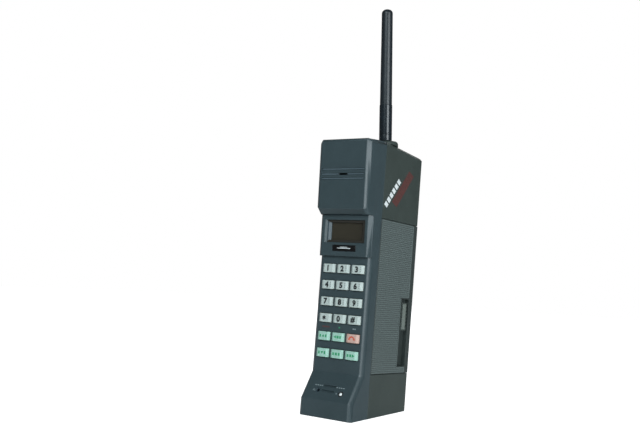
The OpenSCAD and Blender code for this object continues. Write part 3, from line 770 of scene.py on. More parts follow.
def printed(name: str, body: str, ink: Finishes, film: Surface | list, place: Place) -> None:
    """Prints a film, or films over outlines, on a face.

    Args:
        name: the print's name.
        body: the body that it rides on.
        ink: its finish.
        film: a surface in local axes, or outlines for ink_film().
        place: the face's frame.
    """
    surface = film if isinstance(film, Surface) else ink_film(film)
    Piece(name, body, "trim", ink).place(surface, place)


def bar(x: float, z: float, width: float, height: float) -> np.ndarray:
    """Outline of a bar centred at x and z."""
    w, h = width / 2, height / 2
    return np.array([[x - w, z - h], [x + w, z - h], [x + w, z + h], [x - w, z + h]])


def row_of(count: int, x: float, step: float, z: float, width: float, height: float) -> list:
    """Outlines of equal bars in a row, the first one centred at x and z."""
    return [bar(x + step * k, z, width, height) for k in range(count)]


def star(outer: float, inner: float) -> np.ndarray:
    """Outline of a six-pointed star between two radii."""
    t = np.radians(np.arange(12) * 30.0 + 90.0)
    r = np.where(np.arange(12) % 2 == 0, outer, inner)
    return np.stack([r * np.cos(t), r * np.sin(t)], -1)


def wedge(x: float, z: float, size: float, turn: float) -> np.ndarray:
    """Outline of an equilateral triangle that points turn degrees round from +X."""
    t = np.radians(turn + np.array([0.0, 120.0, 240.0]))
    return np.stack([x + size * np.cos(t), z + size * np.sin(t)], -1)


def arch(x: float, z: float, radius: float, thick: float, start: float, end: float) -> np.ndarray:
    """Outline of an arc band from start to end degrees: out along its outer edge, back along its inner."""
    t = np.radians(np.linspace(start, end, 12))
    outer, inner = (np.stack([x + r * np.cos(t), z + r * np.sin(t)], -1)
                    for r in (radius + thick / 2, radius - thick / 2))
    return np.concatenate([outer, inner[::-1]])


def glyph(sign: str, height: float, weight: float) -> Surface:
    """A printed figure as a thin closed film, centred, in local axes.

    Args:
        sign: one character.
        height: size of the type in mm.
        weight: how much its strokes are thickened on each side, in mm.

    Returns:
        Its surface, drawn on a face whose Y runs inwards.
    """
    curve = bpy.data.curves.new("figure", "FONT")
    curve.body = sign
    curve.size = height
    curve.offset = weight
    curve.extrude = 0.025
    curve.resolution_u = 4
    curve.align_x = "CENTER"
    curve.align_y = "CENTER"
    obj = bpy.data.objects.new("figure", curve)
    bpy.context.scene.collection.objects.link(obj)
    mesh = obj.evaluated_get(bpy.context.evaluated_depsgraph_get()).to_mesh()
    points = np.zeros(len(mesh.vertices) * 3)
    mesh.vertices.foreach_get("co", points)
    faces = [list(p.vertices) for p in mesh.polygons]
    bpy.data.objects.remove(obj)
    bpy.data.curves.remove(curve)
    points = points.reshape(-1, 3)
    middle = (points.min(0) + points.max(0)) / 2
    x, up, out = (points - middle).T
    return Surface(np.stack([x, -out - 0.01, up], -1), faces)


# ---- Handset --------------------------------------------------------------


@dataclass
class Handset:
    """The front and rear mouldings and what is seated in them.

    The ends of the face's slopes are [y, z] in body axes, and the edges are widths in mm.
    """

    chin_high: tuple = (-11.6, 12.3)
    keypad_low: tuple = (0.0, 30.6)
    display_low: tuple = (-2.7, 111.1)
    display_high: tuple = (-3.6, 140.1)
    ear_low: tuple = (-10.2, 143.5)
    ear_high: tuple = (-12.3, 191.1)
    half_width: float = 21.5
    seam_y: float = 10.3
    bay: tuple = (31.1, 139.8)
    ridge_z: float = 194.5
    top_falls: tuple = (0.0975, -0.0625)
    head_tips: tuple = ((21.5, -5.78, 140.1), (21.5, -3.6, 140.0), (21.5, -3.6, 140.1))
    head_corner: tuple = (21.5, -2.15, 140.1)
    corner_cut: float = 2.4
    corner_edge: float = 0.9
    tail_edge: float = 0.2
    outer_edge: float = 0.45
    face_edge: float = 0.22
    shell_edge: float = 0.28
    seam_edge: float = 0.15
    trim_edge: float = 0.15
    lamp_seat: tuple = (10.4, 0.0, 6.2)
    lamp_radius: float = 1.1
    collar_radius: float = 2.05
    plate_x: float = 0.4
    plate_up: float = 5.5
    hint_z: float = 61.5

    def build(self, frame: dict, stance: Stance) -> None:
        """Rounds the mouldings' edges and prints their marks."""
        nodes = frame["nodes"]
        rim = self.half_width - 0.3
        tucks = tuple((tip, self.head_corner) for tip in self.head_tips)
        Piece("front_moulding", "handset", "front_shell", Finishes.FRONT, cuts=self._corners(0), tucks=tucks,
              rim=rim).soften(nodes["front_shell"], self._shell_widths, segments=3, stance=stance)
        Piece("rear_moulding", "handset", "rear_shell", Finishes.REAR, cuts=self._corners(1),
              rim=rim).soften(nodes["rear_shell"], self._shell_widths, segments=3, stance=stance)
        for name, slot, finish, node in (
                ("display_surround", "front_shell", Finishes.MASK, "display_bezel"),
                ("display_pane", "window", Finishes.PANE, "display_window"),
                ("blank_plate", "trim", Finishes.PLATE, "name_plate"),
                ("jack_insert", "black_plastic", Finishes.FRONT_EDGE, "jack_socket"),
                ("antenna_boss", "rear_shell", Finishes.REAR, "antenna_turret"),
                ("accessory_port", "black_plastic", Finishes.NYLON, "accessory_connector"),
                ("contact_carrier", "black_plastic", Finishes.NYLON, "contact_block")):
            Piece(name, "handset", slot, finish).soften(nodes[node], self.trim_edge)
        slope = Place.on_face(stance, self.chin_high, self.keypad_low)
        display = Place.on_face(stance, self.display_low, self.display_high)
        self._lamp(slope.moved(*self.lamp_seat))
        self._grooves(Place.on_face(stance, self.ear_low, self.ear_high), slope)
        self._reveals(display)
        self._marks(slope, display, Place(stance))
        self._side_bars(stance)

    def _corners(self, half: int) -> tuple:
        """Planes that cut the long corners between the top and the sides of one shell, ready to round."""
        fall = self.top_falls[half]
        up = np.array([0.0, -fall, 1.0]) / math.hypot(fall, 1.0)
        point = np.array([self.half_width - self.corner_cut, self.seam_y, self.ridge_z])
        return tuple((point * [side, 1, 1], (up + [side, 0, 0]) / math.sqrt(2)) for side in (-1, 1))

    def _shell_widths(self, ends: np.ndarray, convex: np.ndarray, angle: np.ndarray) -> np.ndarray:
        """Widths of the shells' rounded edges: fine at the seam, the openings and the face's edges.

        The face's bevels blend into the sides. Hollow edges and the short ones at the steps stay.
        """
        x, y, z = np.abs(ends[..., 0]), ends[..., 1], ends[..., 2]
        length = np.linalg.norm(np.ptp(ends, axis=1), axis=1)
        # The sides and the bevels next to them; a straight edge keeps its distance from the middle
        outside = convex & (x.min(1) > self.half_width - 3.1)
        straight = np.ptp(ends[..., 0], axis=1) < 0.1
        # A bevel's edge on the face, and its edge on the side
        crisp = straight & (x.max(1) < self.half_width - 2.5)
        bevel = outside & straight & (angle < 50) & (x.min(1) > self.half_width - 0.1)
        # The long edges of the corner cuts, near the ridge
        corner = outside & straight & (np.ptp(y, axis=1) > 1.2) & (z.min(1) > self.ridge_z - 9)
        seam = (np.abs(y - self.seam_y) < 0.15).all(1)
        bay = (np.abs(z - self.bay[0]) < 0.15).all(1) | (np.abs(z - self.bay[1]) < 0.15).all(1)
        widths = np.where(outside, self.outer_edge, self.shell_edge)
        widths = np.where(outside & crisp, self.face_edge, widths)
        widths = np.where(bevel & (y.max(1) < self.seam_y), -1.0, widths)
        widths = np.where(corner & (angle < 60), self.corner_edge, widths)
        # The head's rear top edge, whose spans are short
        widths = np.where(outside & (y.max(1) > 58.6) & (z.min(1) > 180), self.tail_edge, widths)
        widths = np.where(seam | bay, self.seam_edge, widths)
        stays = ~convex | (length < 0.3) | (outside & (length < 5) & (y.max(1) < self.seam_y + 40))
        return np.where(stays & (widths > 0), 0.0, widths)

    def _reveals(self, display: Place) -> None:
        """The window's reveals: pale plastic down its left side, a painted highlight, and a dark mask down
        its right, painted shade.
        """
        left = np.array([(-15.08, 1.46), (-14.2, 1.46), (-12.66, 3.0), (-12.66, 3.45),
                         (-12.74, 3.45), (-12.74, 3.04), (-14.24, 1.54), (-15.08, 1.54)])
        right = np.array([(16.5, 0.16), (15.16, 1.5), (15.16, 3.4),
                          (15.24, 3.4), (15.24, 1.54), (16.58, 0.2)])
        # Pale plastic on the left reveal's bevels: a painted highlight
        Piece("window_reveal", "handset", "front_shell", Finishes.FRONT_EDGE).place(
            prism(left[::-1], 10.5, 24.4), display)
        # A dark sheet over the right ledge and bevel, where shade falls: painted shade
        Piece("window_painted_shade", "handset", "front_shell", Finishes.MASK).place(
            prism(right[::-1], 9.55, 25.35), display)

    def _lamp(self, seat: Place) -> None:
        """A domed lens: its height falls as the square of the radius, over a straight stem."""
        radius, crown, depth = self.lamp_radius, 0.45, 6.0
        r = np.linspace(0, radius, 9)
        dome = np.stack([r, -crown * (r / radius) ** 2], -1)
        stem = np.array([[radius, -1.5], [radius, -depth], [0.0, -depth]])
        lens = lathe(np.concatenate([dome, stem]), 32)
        x, y, z = lens.points.T
        Piece("lamp_lens", "handset", "lamp", Finishes.LAMP, ("indicator_lamp",)).place(
            Surface(np.stack([x, -z - crown, y], -1), lens.faces), seat)
        inner, outer = radius + 0.05, self.collar_radius
        ring = [(inner, 0.0), (inner + 0.05, 0.06), (outer - 0.1, 0.06), (outer, 0.0), (inner, 0.0)]
        collar = lathe(np.array(ring), 32).turned((0, 2, 1))
        collar.points[:, 1] *= -1
        Piece("lamp_collar", "handset", "black_plastic", Finishes.NYLON).place(collar, seat)

    def _grooves(self, face: Place, slope: Place) -> None:
        """Ribs with rounded edges along the floors of the earpiece grooves and the chin's slots; the
        earpiece's ribs are pale, a painted highlight.
        """
        spans = [(-17.3, 17.3, 21.1), (-17.3, -3.85, 24.2), (3.85, 17.3, 24.2), (-17.3, 17.3, 27.7)]
        # Paler than the face: a painted highlight where the grooves' lower walls catch light
        Piece("earpiece_ribs", "handset", "front_shell", Finishes.RIBS).place(
            self._ribs(spans, 0.52, 0.12), face)
        slots = [(-5.65, 4.65, 10.85), (-5.65, 4.65, 6.95)]
        Piece("chin_ribs", "handset", "front_shell", Finishes.FRONT).place(
            self._ribs(slots, 0.38, 0.2), slope)

    def _ribs(self, spans: list, half: float, under: float) -> Surface:
        """Bars with rounded edges that lie under a face, each from x to x at a height."""
        outlines = [fillet([(x0, up - half), (x1, up - half), (x1, up + half), (x0, up + half)], 0.3)
                    for x0, x1, up in spans]
        ribs = Surface.joined([prism(o, -1.2, -under, 0.0, 0.25).turned((0, 2, 1)) for o in outlines])
        ribs.points[:, 1] *= -1
        return ribs

    def _marks(self, slope: Place, display: Place, face: Place) -> None:
        """Small generic marks on the chin, the plate and above the function keys."""
        ticks = row_of(4, -11.6, 1.75, 10.7, 1.1, 0.6) + row_of(4, 5.9, 1.75, 10.7, 1.1, 0.6)
        signs = [arch(-11.5, 6.5, 0.75, 0.35, -30, 210), wedge(6.9, 6.1, 0.65, 90)]
        printed("chin_marks", "handset", Finishes.INK_PALE, ticks + signs, slope)
        bars = [bar(self.plate_x, self.plate_up, 11.0, 0.5),
                bar(self.plate_x, self.plate_up + 0.8, 6.0, 0.35)]
        printed("plate_bars", "handset", Finishes.INK_WHITE, bars, display.moved(0, -0.2, 0))
        printed("recall_hint", "handset", Finishes.INK_DULL_RED,
                row_of(4, -13.6, 1.6, self.hint_z, 1.1, 0.9), face)
        printed("clear_hint", "handset", Finishes.INK_GREEN, row_of(1, 0.0, 0.0, self.hint_z, 1.2, 0.9), face)
        printed("end_hint", "handset", Finishes.INK_PALE, row_of(2, 11.4, 1.5, self.hint_z, 1.0, 0.9), face)

    def _side_bars(self, stance: Stance) -> None:
        """Two slanted print bands on the right of the head: white blocks and a dull red band."""
        side = Place(stance, (self.half_width, 0, 0), across=(0, 1, 0), inward=(-1, 0, 0))
        slant = math.radians(49.0)
        along = np.array([math.cos(slant), math.sin(slant)])
        aside = np.array([math.sin(slant), -math.cos(slant)])

        def band(start: np.ndarray, length: float, width: float, skew: float) -> np.ndarray:
            """Parallelogram that starts at a point and runs along the slant, its far side shifted."""
            corners = [(0, 0), (length, 0), (length + skew, width), (skew, width)]
            return np.array([start + a * along + b * aside for a, b in corners])

        white = [band(np.array([12.0, 149.8]) + 4.75 * k * along, 3.5, 4.2, 0.9) for k in range(6)]
        red = [band(np.array([22.6, 153.0]) + 2.0 * k * along, 1.5, 7.4, 2.4) for k in range(17)]
        printed("side_blocks", "handset", Finishes.INK_WHITE, ink_film(white, 0.02), side)
        printed("side_stripes", "handset", Finishes.INK_DULL_RED, ink_film(red, 0.02), side)


# ---- Keypad ---------------------------------------------------------------


class Pictogram(Enum):
    """Generic signs of the six function keys."""

    RECALL = "recall"
    CLEAR = "clear"
    END = "end"
    STORE = "store"
    FUNCTION = "function"
    SEND = "send"

    def outlines(self) -> list:
        """The sign's outlines about the middle of the key's top, in mm."""
        return {
            Pictogram.RECALL: [bar(-2.3, 0, 1.2, 2.0), wedge(0.1, -0.1, 1.25, 90), bar(2.3, 0, 1.2, 2.0)],
            Pictogram.CLEAR: [wedge(-1.7, 0, 1.3, 180), bar(0.3, 0, 1.7, 1.9), bar(2.4, 0, 1.2, 1.9)],
            Pictogram.END: [arch(-0.1, -1.0, 2.1, 0.95, 25, 155), bar(-2.05, -0.55, 1.5, 0.9),
                            bar(1.85, -0.55, 1.5, 0.9)],
            Pictogram.STORE: [bar(-2.3, 0, 1.2, 2.0), wedge(0.1, 0.2, 1.25, -90), bar(2.3, 0, 1.2, 2.0)],
            Pictogram.FUNCTION: [bar(-2.3, 0, 1.3, 1.9), bar(0, 0, 1.7, 1.9), bar(2.3, 0, 1.3, 1.9)],
            Pictogram.SEND: [wedge(1.9, 0, 1.4, 0), bar(-0.1, 0, 1.5, 1.9), bar(-2.3, 0, 1.3, 1.9)],
        }[self]


@dataclass
class Keypad:
    """Eighteen keys in six rows of three, each a cap with its print."""

    pitch: tuple = (11.85, 11.6)
    top_row: float = 102.4
    row_gap: float = 1.0
    half_size: tuple = (5.05, 3.0)
    proud: float = 1.9
    end_fall: float = 1.1
    end_width: float = 1.6
    figure_height: float = 5.3
    stroke: float = 0.26
    figures: str = "123456789*0#"

    def build(self, stance: Stance) -> None:
        """Makes every key in reading order."""
        names = {"*": "star", "#": "hash"}
        for k, sign in enumerate(self.figures):
            node = f"key_{names.get(sign, sign)}"
            seat = self._seat(stance, k)
            self._cap(node, seat, Finishes.KEY_WHITE, "digit_key")
            top = seat.moved(0, -self.proud, 0)
            figure = (ink_film([star(1.8, 1.0)]) if sign == "*"
                      else glyph(sign, self.figure_height, self.stroke))
            printed(f"{node}_print", node, Finishes.INK_BLACK, figure.moved(-0.35, 0, 0), top)
            if sign in "23456789":
                ticks = [bar(2.75, 1.35 - 1.3 * i, 0.8, 0.65) for i in range(3)]
                printed(f"{node}_ticks", node, Finishes.INK_GREY, ticks, top)
        for k, sign in enumerate(Pictogram):
            node = f"key_{sign.value}"
            seat = self._seat(stance, len(self.figures) + k)
            plastic, slot, ink = Finishes.KEY_MINT, "mint_key", Finishes.INK_GREEN
            if sign is Pictogram.END:
                plastic, slot, ink = Finishes.KEY_PINK, "pink_key", Finishes.INK_RED
            self._cap(node, seat, plastic, slot)
            printed(f"{node}_print", node, ink, sign.outlines(), seat.moved(0, -self.proud, 0))

    def _seat(self, stance: Stance, k: int) -> Place:
        """Middle of key k on the keypad face; the last two rows stand off by the row gap."""
        row, column = divmod(k, 3)
        z = self.top_row - self.pitch[1] * row - (self.row_gap if row > 3 else 0)
        return Place(stance).moved((column - 1) * self.pitch[0], 0, z)

    def _cap(self, node: str, seat: Place, finish: Finishes, slot: str) -> None:
        """The cap: a flat-topped profile with falling ends, carried up the key, on its flange.

        The profile runs in X and Y, and its corners are fillets. The root attribute is 1 at the
        keypad face and 0 from 0.9 mm above it; it darkens the root as soil and painted shade.
        """
        w, h = self.half_size
        inner, root = w - self.end_width, 2.52
        corners = [(-w, root), (-w, self.end_fall - self.proud), (-inner, -self.proud),
                   (inner, -self.proud), (w, self.end_fall - self.proud), (w, root)]
        profile = fillet(corners, [0.02, 0.3, 0.35, 0.35, 0.3, 0.02])
        cap = prism(profile, -h, h, 0.35, 0.35)
        flange_corners = [(-w - 0.5, 2.5), (w + 0.5, 2.5), (w + 0.5, 3.3), (-w - 0.5, 3.3)]
        flange = prism(np.array(flange_corners), -h - 0.5, h + 0.5)
        key = cap + flange
        # Soil and painted shade at the key's root, fading out towards its top
        root_soil_and_shade = 1 - smoothstep(-0.9, 0.1, -key.points[:, 1])
        Piece(f"{node}_cap", node, slot, finish, (node,),
              attributes={"root": root_soil_and_shade * 0.8}).place(key, seat)


# ---- Antenna --------------------------------------------------------------


@dataclass
class Antenna:
    """The screwed antenna: a glossy sleeve with its ring and a rubber sheath with a round tip."""

    seat: tuple = (11.5, 24.0, 197.39)
    tilt: float = 6.6
    sleeve_height: float = 26.0
    height: float = 95.0
    sleeve_radius: float = 4.6
    foot_radius: float = 4.35
    tip_radius: float = 4.0
    tip_round: float = 3.0

    def build(self, frame: dict, stance: Stance) -> None:
        """Turns the sleeve and the sheath about the antenna's own axis."""
        t = math.radians(self.tilt)
        axis = Place(stance, self.seat, inward=(0, math.cos(t), math.sin(t)),
                     up=(0, -math.sin(t), math.cos(t)))
        r, h = self.sleeve_radius, self.sleeve_height
        ring = [(r, 4.35), (r - 0.22, 4.5), (r - 0.22, 4.6), (r + 0.13, 4.72), (r + 0.15, 5.0),
                (r + 0.13, 5.28), (r - 0.22, 5.4), (r - 0.22, 5.5), (r, 5.65)]
        sleeve = [(0, 0), (r - 0.4, 0), (r - 0.1, 0.12), (r, 0.45)] + ring
        sleeve += [(r, h - 0.4), (r - 0.1, h - 0.1), (r - 0.4, h), (0, h)]
        Piece("antenna_lower_sleeve", "antenna", "antenna_sheath", Finishes.SLEEVE, ("antenna_sleeve",),
              sharp=60).place(lathe(np.array(sleeve, float)), axis)
        bend, soft = np.radians(np.linspace(0, 90, 10)), self.tip_round
        dome = np.stack([self.tip_radius - 0.02 - soft + soft * np.cos(bend),
                         self.height - soft + soft * np.sin(bend)], -1)
        straight = np.linspace(0, 1, 12)[:, None]
        foot, top = np.array([[self.foot_radius, h + 0.02]]), dome[:1]
        sheath = np.concatenate([[[0, h + 0.02]], foot + (top - foot) * straight, dome[1:],
                                 [[0, self.height]]])
        Piece("antenna_upper_sheath", "antenna", "antenna_sheath", Finishes.SHEATH, ("antenna_sheath",),
              sharp=60).place(lathe(sheath), axis)
        Piece("antenna_foot_seal", "antenna", "rubber", Finishes.RUBBER).soften(
            frame["nodes"]["antenna_seal"], 0.1)


# ---- Battery --------------------------------------------------------------


@dataclass
class Battery:
    """The battery pack: a block with two cheeks that wrap the handset, dimpled for grip."""

    half_width: float = 21.5
    cheek: float = 2.4
    front: float = 10.6
    box_front: float = 27.3
    back: float = 64.0
    low: float = 31.4
    high: float = 139.5
    back_cut: float = 1.3
    cover_half: float = 19.5
    cover_in: float = 1.95
    cover_margin: float = 1.95
    pitch: float = 1.38
    cells: tuple = (33, 77)
    dimple: float = 0.34
    edge: float = 0.3
    recess: tuple = (46.5, 58.2, 36.6, 84.8)
    lip_reach: tuple = (-0.35, -0.12, 0.0, 0.03)
    lip_depth: tuple = (0.0, 0.05, 0.25, 3.2)
    rib: tuple = (50.0, 54.3, 63.0, 81.4)

    def build(self, frame: dict, stance: Stance) -> None:
        """Makes the dimpled case and rounds the cover and the latch."""
        nodes = frame["nodes"]
        self._case(stance)
        Piece("pack_cover", "battery", "battery_cover", Finishes.REAR).soften(
            nodes["battery_cover"], 0.2, Finishes.REAR_EDGE)
        Piece("latch_pad", "battery_latch", "latch_slider", Finishes.REAR).soften(nodes["latch_slider"], 0.2)
        self._latch_rib(stance)

    def _lines(self, start: float, count: int, extra: list) -> np.ndarray:
        """Grid lines of the dimple field: four to each cell, with the recess's own lines."""
        field_lines = start + self.pitch / 4 * np.arange(4 * count + 1)
        if not extra:
            return field_lines
        near = np.abs(field_lines[:, None] - np.array(extra)[None]).min(1) < 0.12
        return np.sort(np.concatenate([field_lines[~near], extra]))

    def _recess_lines(self, low: float, high: float) -> list:
        """Lines that round the lip of the recess between two of its edges and drop its walls."""
        return [low + s for s in self.lip_reach] + [high - s for s in self.lip_reach[::-1]]

    def _by_recess(self, y: np.ndarray, z: np.ndarray) -> np.ndarray:
        """Where y and z lie in the recess, or so near that a dimple's bowl would touch its lip."""
        y0, y1, z0, z1 = self.recess
        margin = self.pitch / 2 - self.lip_reach[0]
        return (y > y0 - margin) & (y < y1 + margin) & (z > z0 - margin) & (z < z1 + margin)

    def _depth(self, y: np.ndarray, z: np.ndarray, latch_side: bool) -> np.ndarray:
        """How far the side lies under its plane at y and z.

        Each dimple is a bowl, 1 - (r / 0.46)^2 of its depth at r pitches from its cell's middle.
        The recess falls over its lip and is flat at its full depth. No dimple reaches its lip.
        """
        y0, y1, z0, z1 = self.recess
        y_start, z_start = self._field()
        u, v = (y - y_start) / self.pitch, (z - z_start) / self.pitch
        inside = (u > -0.01) & (u < self.cells[0] + 0.01) & (v > -0.01) & (v < self.cells[1] + 0.01)
        r2 = (u - np.floor(u) - 0.5) ** 2 + (v - np.floor(v) - 0.5) ** 2
        bowl = self.dimple * np.clip(1 - r2 / 0.46 ** 2, 0, 1) * inside
        if not latch_side:
            return bowl
        middle_y = y_start + (np.floor(u) + 0.5) * self.pitch
        middle_z = z_start + (np.floor(v) + 0.5) * self.pitch
        reach = np.minimum(np.minimum(y - y0, y1 - y), np.minimum(z - z0, z1 - z))
        lip = np.interp(reach, self.lip_reach, self.lip_depth)
        return np.where(self._by_recess(middle_y, middle_z), 0.0, bowl) + lip

    def _field(self) -> tuple:
        """Lowest y and z of the dimple field, centred in the side with a plain strip at the back."""
        z_start = (self.low + self.high - self.cells[1] * self.pitch) / 2
        return self.front + 0.8, z_start

    def _outline(self) -> np.ndarray:
        """The outline round the pack and its cheeks, with side points a quarter of a pitch apart."""
        y_start, _ = self._field()
        w, x_in, e, cut = self.half_width, self.half_width - self.cheek, self.edge, self.back_cut
        t = np.linspace(0, math.pi / 2, 4)
        nose_inner = np.stack([x_in + e - e * np.cos(t), self.front + e - e * np.sin(t)], -1)
        nose_outer = np.stack([w - e + e * np.sin(t), self.front + e - e * np.cos(t)], -1)
        heel = np.stack([w - cut + cut * np.cos(t), self.back - cut + cut * np.sin(t)], -1)
        back_face = np.linspace(w - cut, 0, 5)[1:, None] * [1, 0] + [0, self.back]
        pocket = np.array([[0.0, self.box_front], [self.cover_half - 0.02, self.box_front],
                           [self.cover_half, self.box_front], [x_in, self.box_front - 0.02]])

        def half(extra: list) -> np.ndarray:
            """Half of it, from the cover pocket round the cheek to the middle of the back."""
            lines = self._lines(y_start, self.cells[0], extra)
            side = np.stack([np.full(len(lines), w), lines], -1)
            return np.concatenate([pocket, nose_inner, nose_outer, side, heel, back_face])

        right, left = half(self._recess_lines(*self.recess[:2])), half([]) * [-1, 1]
        return np.concatenate([right, left[::-1][1:-1]])

    def _levels(self, rims: tuple) -> tuple:
        """Heights of the outline's copies, and how far each is drawn in at the rounded ends.

        Args:
            rims: lower and upper rim of the cover's pocket, which get a line on each side.

        Returns:
            The heights and the insets, both from the foot to the top.
        """
        _, z_start = self._field()
        e, bend = self.edge, np.linspace(0, math.pi / 2, 4)[:-1]
        rise, drawn_in = e * (1 - np.cos(bend)), e * (1 - np.sin(bend))
        rows = self._lines(z_start, self.cells[1], self._recess_lines(*self.recess[2:]))
        pairs = np.array([rim + side for rim in rims for side in (-0.01, 0.01)])
        middle = np.sort(np.concatenate([rows[np.abs(rows[:, None] - pairs).min(1) > 0.02], pairs]))
        heights = [self.low + rise, [self.low + e], middle, [self.high - e], self.high - rise[::-1]]
        insets = [drawn_in, np.zeros(len(middle) + 2), drawn_in[::-1]]
        return np.concatenate(heights), np.concatenate(insets)

    def _crest(self, x: np.ndarray, y: np.ndarray, z: np.ndarray, sunk: np.ndarray,
               on_side: np.ndarray) -> np.ndarray:
        """How far the grip is tinted pale: 1 on its worn crests, falling to 0 in the dimples as painted
        shade, and 1 along the recess's front lip as a painted highlight.
        """
        y0, _, z0, z1 = self.recess
        y_start, z_start = self._field()
        u, v = (y - y_start) / self.pitch, (z - z_start) / self.pitch
        in_field = (u > -0.1) & (u < self.cells[0] + 0.1) & (v > -0.1) & (v < self.cells[1] + 0.1)
        # Pale on the worn crests and dark in the dimples: wear, and painted shade in the dimples
        crest = np.clip(1 - sunk / (0.6 * self.dimple), 0, 1) * (on_side & in_field)
        # Pale along the recess's front lip: a painted highlight
        highlight_lip = (x > 0) & (y > y0 - 0.8) & (y < y0 - 0.05) & (z > z0 - 0.1) & (z < z1 + 0.1)
        return np.where(highlight_lip, 1.0, np.where((x > 0) & self._by_recess(y, z), 0.0, crest))

    def _case(self, stance: Stance) -> None:
        """The case: one outline carried from the foot to the top, with its sides pushed in.

        The dimples and the recess are a height function of y and z, and the cover's pocket is a
        step in Y between its two rims.
        """
        outline = self._outline()
        normals = outward(outline)
        rims = (self.low + self.cover_margin, self.high - self.cover_margin)
        heights, inset = self._levels(rims)
        x = outline[None, :, 0] - inset[:, None] * normals[None, :, 0]
        y = outline[None, :, 1] - inset[:, None] * normals[None, :, 1]
        z = np.broadcast_to(heights[:, None], x.shape)
        on_side = (np.abs(outline[:, 0]) > self.half_width - 1e-6)[None]
        sunk = np.where(on_side & (x > 0), self._depth(y, z, True), 0.0)
        sunk = np.where(on_side & (x < 0), self._depth(y, z, False), sunk)
        x = x - np.sign(x) * sunk
        pocketed = np.abs(outline[:, 1] - self.box_front) < 1e-6
        pocketed &= np.abs(outline[:, 0]) < self.cover_half - 0.01
        y = np.where(pocketed[None] & (z > rims[0]) & (z < rims[1]), y + self.cover_in, y)
        crest = self._crest(x, y, z, sunk, on_side)
        case = Surface.grid(np.stack([x, y, z], -1), around=True, capped=True)
        Piece("dimpled_pack", "battery", "battery_case", Finishes.GRIP, ("battery_case",), sharp=50,
              attributes={"crest": crest.reshape(-1)}).place(case, Place(stance))

    def _latch_rib(self, stance: Stance) -> None:
        """The finger rib on the latch pad, a bar with rounded edges."""
        y0, y1, z0, z1 = self.rib
        outline = fillet([(y0, z0), (y1, z0), (y1, z1), (y0, z1)], 0.5)
        rib = prism(outline, 20.8, 21.45, 0.0, 0.25).turned((2, 0, 1))
        Piece("latch_rib", "battery_latch", "latch_slider", Finishes.RUBBED).place(rib, Place(stance))


# ---- Inner parts ----------------------------------------------------------


INNER = {
    Finishes.BOARD: ("logic_board", "rf_board", "keypad_board"),
    Finishes.NYLON: ("board_connector", "logic_chips", "buzzer", "antenna_lead", "earpiece_speaker"),
    Finishes.CHASSIS: ("chassis",),
    Finishes.RUBBER: ("keypad_mat", "earpiece_gasket", "microphone_boot"),
    Finishes.SCREEN: ("display_module",),
    Finishes.TIN: ("rf_shield", "duplexer", "power_amplifier", "cell_straps"),
    Finishes.STEEL: ("case_screws", "microphone", "latch_spring", "antenna_core"),
    Finishes.BRASS: ("antenna_socket", "antenna_stud"),
    Finishes.GOLD: ("spring_contacts", "battery_terminals"),
    Finishes.WRAP: ("battery_cells",),
}


def dress_inner_parts(frame: dict) -> None:
    """Gives each CAD node that stays its own finish."""
    for finish, names in INNER.items():
        for name in names:
            slots = frame["nodes"][name].data.materials
            slots.clear()
            slots.append(finish.material())
    log.info("inner parts dressed")


# ---- Studio ---------------------------------------------------------------


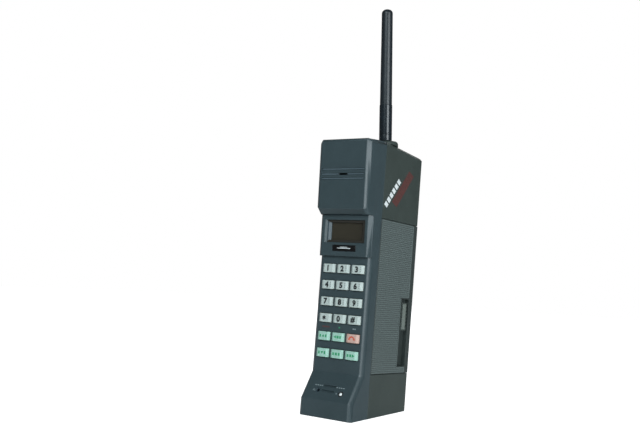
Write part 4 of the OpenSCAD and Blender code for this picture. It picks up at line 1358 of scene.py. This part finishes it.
@dataclass
class Studio:
    """Pale floor, soft light and the camera."""

    eye: tuple = (0.3322, -0.5398, 0.1052)
    right: tuple = (0.8234, 0.5650, 0.0537)
    up: tuple = (-0.0123, -0.0771, 0.9970)
    lens: float = 49.2
    sensor: float = 36.0
    aim: tuple = (0.0, 0.0, 0.1)
    floor_radius: float = 1.8
    floor_glow: float = 0.93

    def build(self) -> None:
        """Sets the stage."""
        scene = bpy.context.scene
        scene.view_settings.view_transform = "Standard"
        self._floor()
        self._world(scene)
        # A box to the right of the camera lights both sides and glances off the bevelled edge
        self._softbox("key_light", (1.24, -0.46, 0.3), 0.7, 12.5, (0.88, 0.96, 1.0))
        self._softbox("front_light", (0.25, -1.4, 0.85), 0.8, 11.5, (0.82, 0.95, 1.0))
        self._softbox("back_light", (-0.7, 1.1, 0.9), 0.9, 6.0, (1.0, 1.0, 1.0))
        self._camera(scene)

    def _camera(self, scene: bpy.types.Scene) -> None:
        """Makes the camera from its right and up directions."""
        data = bpy.data.cameras.new("camera")
        data.lens, data.sensor_width = self.lens, self.sensor
        data.clip_start = 0.01
        camera = bpy.data.objects.new("camera", data)
        right, up = Vector(self.right).normalized(), Vector(self.up).normalized()
        back = right.cross(up).normalized()
        up = back.cross(right)
        turn = Matrix((right, up, back)).transposed().to_4x4()
        camera.matrix_world = Matrix.Translation(self.eye) @ turn
        scene.collection.objects.link(camera)
        scene.camera = camera

    def _softbox(self, name: str, place: tuple, size: float, power: float, colour: tuple) -> None:
        """A square area light that looks at the middle of the handset."""
        data = bpy.data.lights.new(name, "AREA")
        data.size, data.energy, data.color = size, power, colour
        lamp = bpy.data.objects.new(name, data)
        look = Vector(self.aim) - Vector(place)
        lamp.rotation_euler = look.to_track_quat("-Z", "Y").to_euler()
        lamp.location = place
        lamp.visible_camera = False
        bpy.context.scene.collection.objects.link(lamp)

    def _world(self, scene: bpy.types.Scene) -> None:
        """White behind the object, and a softer white on it."""
        world = bpy.data.worlds.new("studio")
        world.use_nodes = True
        tree = world.node_tree
        tree.nodes.clear()
        seen = add_node(tree, "ShaderNodeBackground", {"Color": (1, 1, 1, 1), "Strength": 1.0})
        felt = add_node(tree, "ShaderNodeBackground", {"Color": (0.92, 0.97, 1, 1), "Strength": 0.14})
        path = add_node(tree, "ShaderNodeLightPath")
        mix = add_node(tree, "ShaderNodeMixShader", {
            0: path.outputs["Is Camera Ray"], 1: felt.outputs[0], 2: seen.outputs[0]})
        add_node(tree, "ShaderNodeOutputWorld", {"Surface": mix.outputs[0]})
        scene.world = world

    def _floor_paint(self) -> bpy.types.Material:
        """Matt white paint that is seen near white, but lights the object only by what it reflects."""
        material = bpy.data.materials.new("matt_white_floor")
        material.use_nodes = True
        tree = material.node_tree
        tree.nodes.clear()
        path = add_node(tree, "ShaderNodeLightPath")
        glow = add_node(tree, "ShaderNodeEmission", {"Color": (1, 1, 1, 1), "Strength": self.floor_glow})
        paint = add_node(tree, "ShaderNodeBsdfDiffuse", {"Color": linear("ececec")})
        dark = add_node(tree, "ShaderNodeEmission", {"Strength": 0.0})
        seen = add_node(tree, "ShaderNodeMixShader", {
            0: path.outputs["Is Camera Ray"], 1: dark.outputs[0], 2: glow.outputs[0]})
        both = add_node(tree, "ShaderNodeAddShader", {0: paint.outputs[0], 1: seen.outputs[0]})
        add_node(tree, "ShaderNodeOutputMaterial", {"Surface": both.outputs[0]})
        return material

    def _floor(self) -> None:
        """A matt white disc."""
        turn = np.linspace(0, 2 * math.pi, 96, endpoint=False)
        rim = self.floor_radius * np.stack([np.cos(turn), np.sin(turn), np.zeros_like(turn)], -1)
        mesh = bpy.data.meshes.new("floor")
        mesh.from_pydata(rim, [], [list(range(len(rim)))])
        floor = bpy.data.objects.new("floor", mesh)
        bpy.context.scene.collection.objects.link(floor)
        mesh.materials.append(self._floor_paint())


def main() -> None:
    """Builds the phone and its studio, in order."""
    logging.basicConfig(level=logging.INFO, format="%(name)s: %(message)s", stream=sys.stdout)
    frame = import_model()
    battery = Battery()
    stance = Stance.from_frame(frame, battery.front, battery.back, battery.low)
    log.info("lean %.3f degrees, back %.3f, down %.3f mm", math.degrees(stance.lean), stance.back,
             stance.down)
    Handset().build(frame, stance)
    Keypad().build(stance)
    Antenna().build(frame, stance)
    battery.build(frame, stance)
    dress_inner_parts(frame)
    Studio().build()


if __name__ == "__main__":
    main()
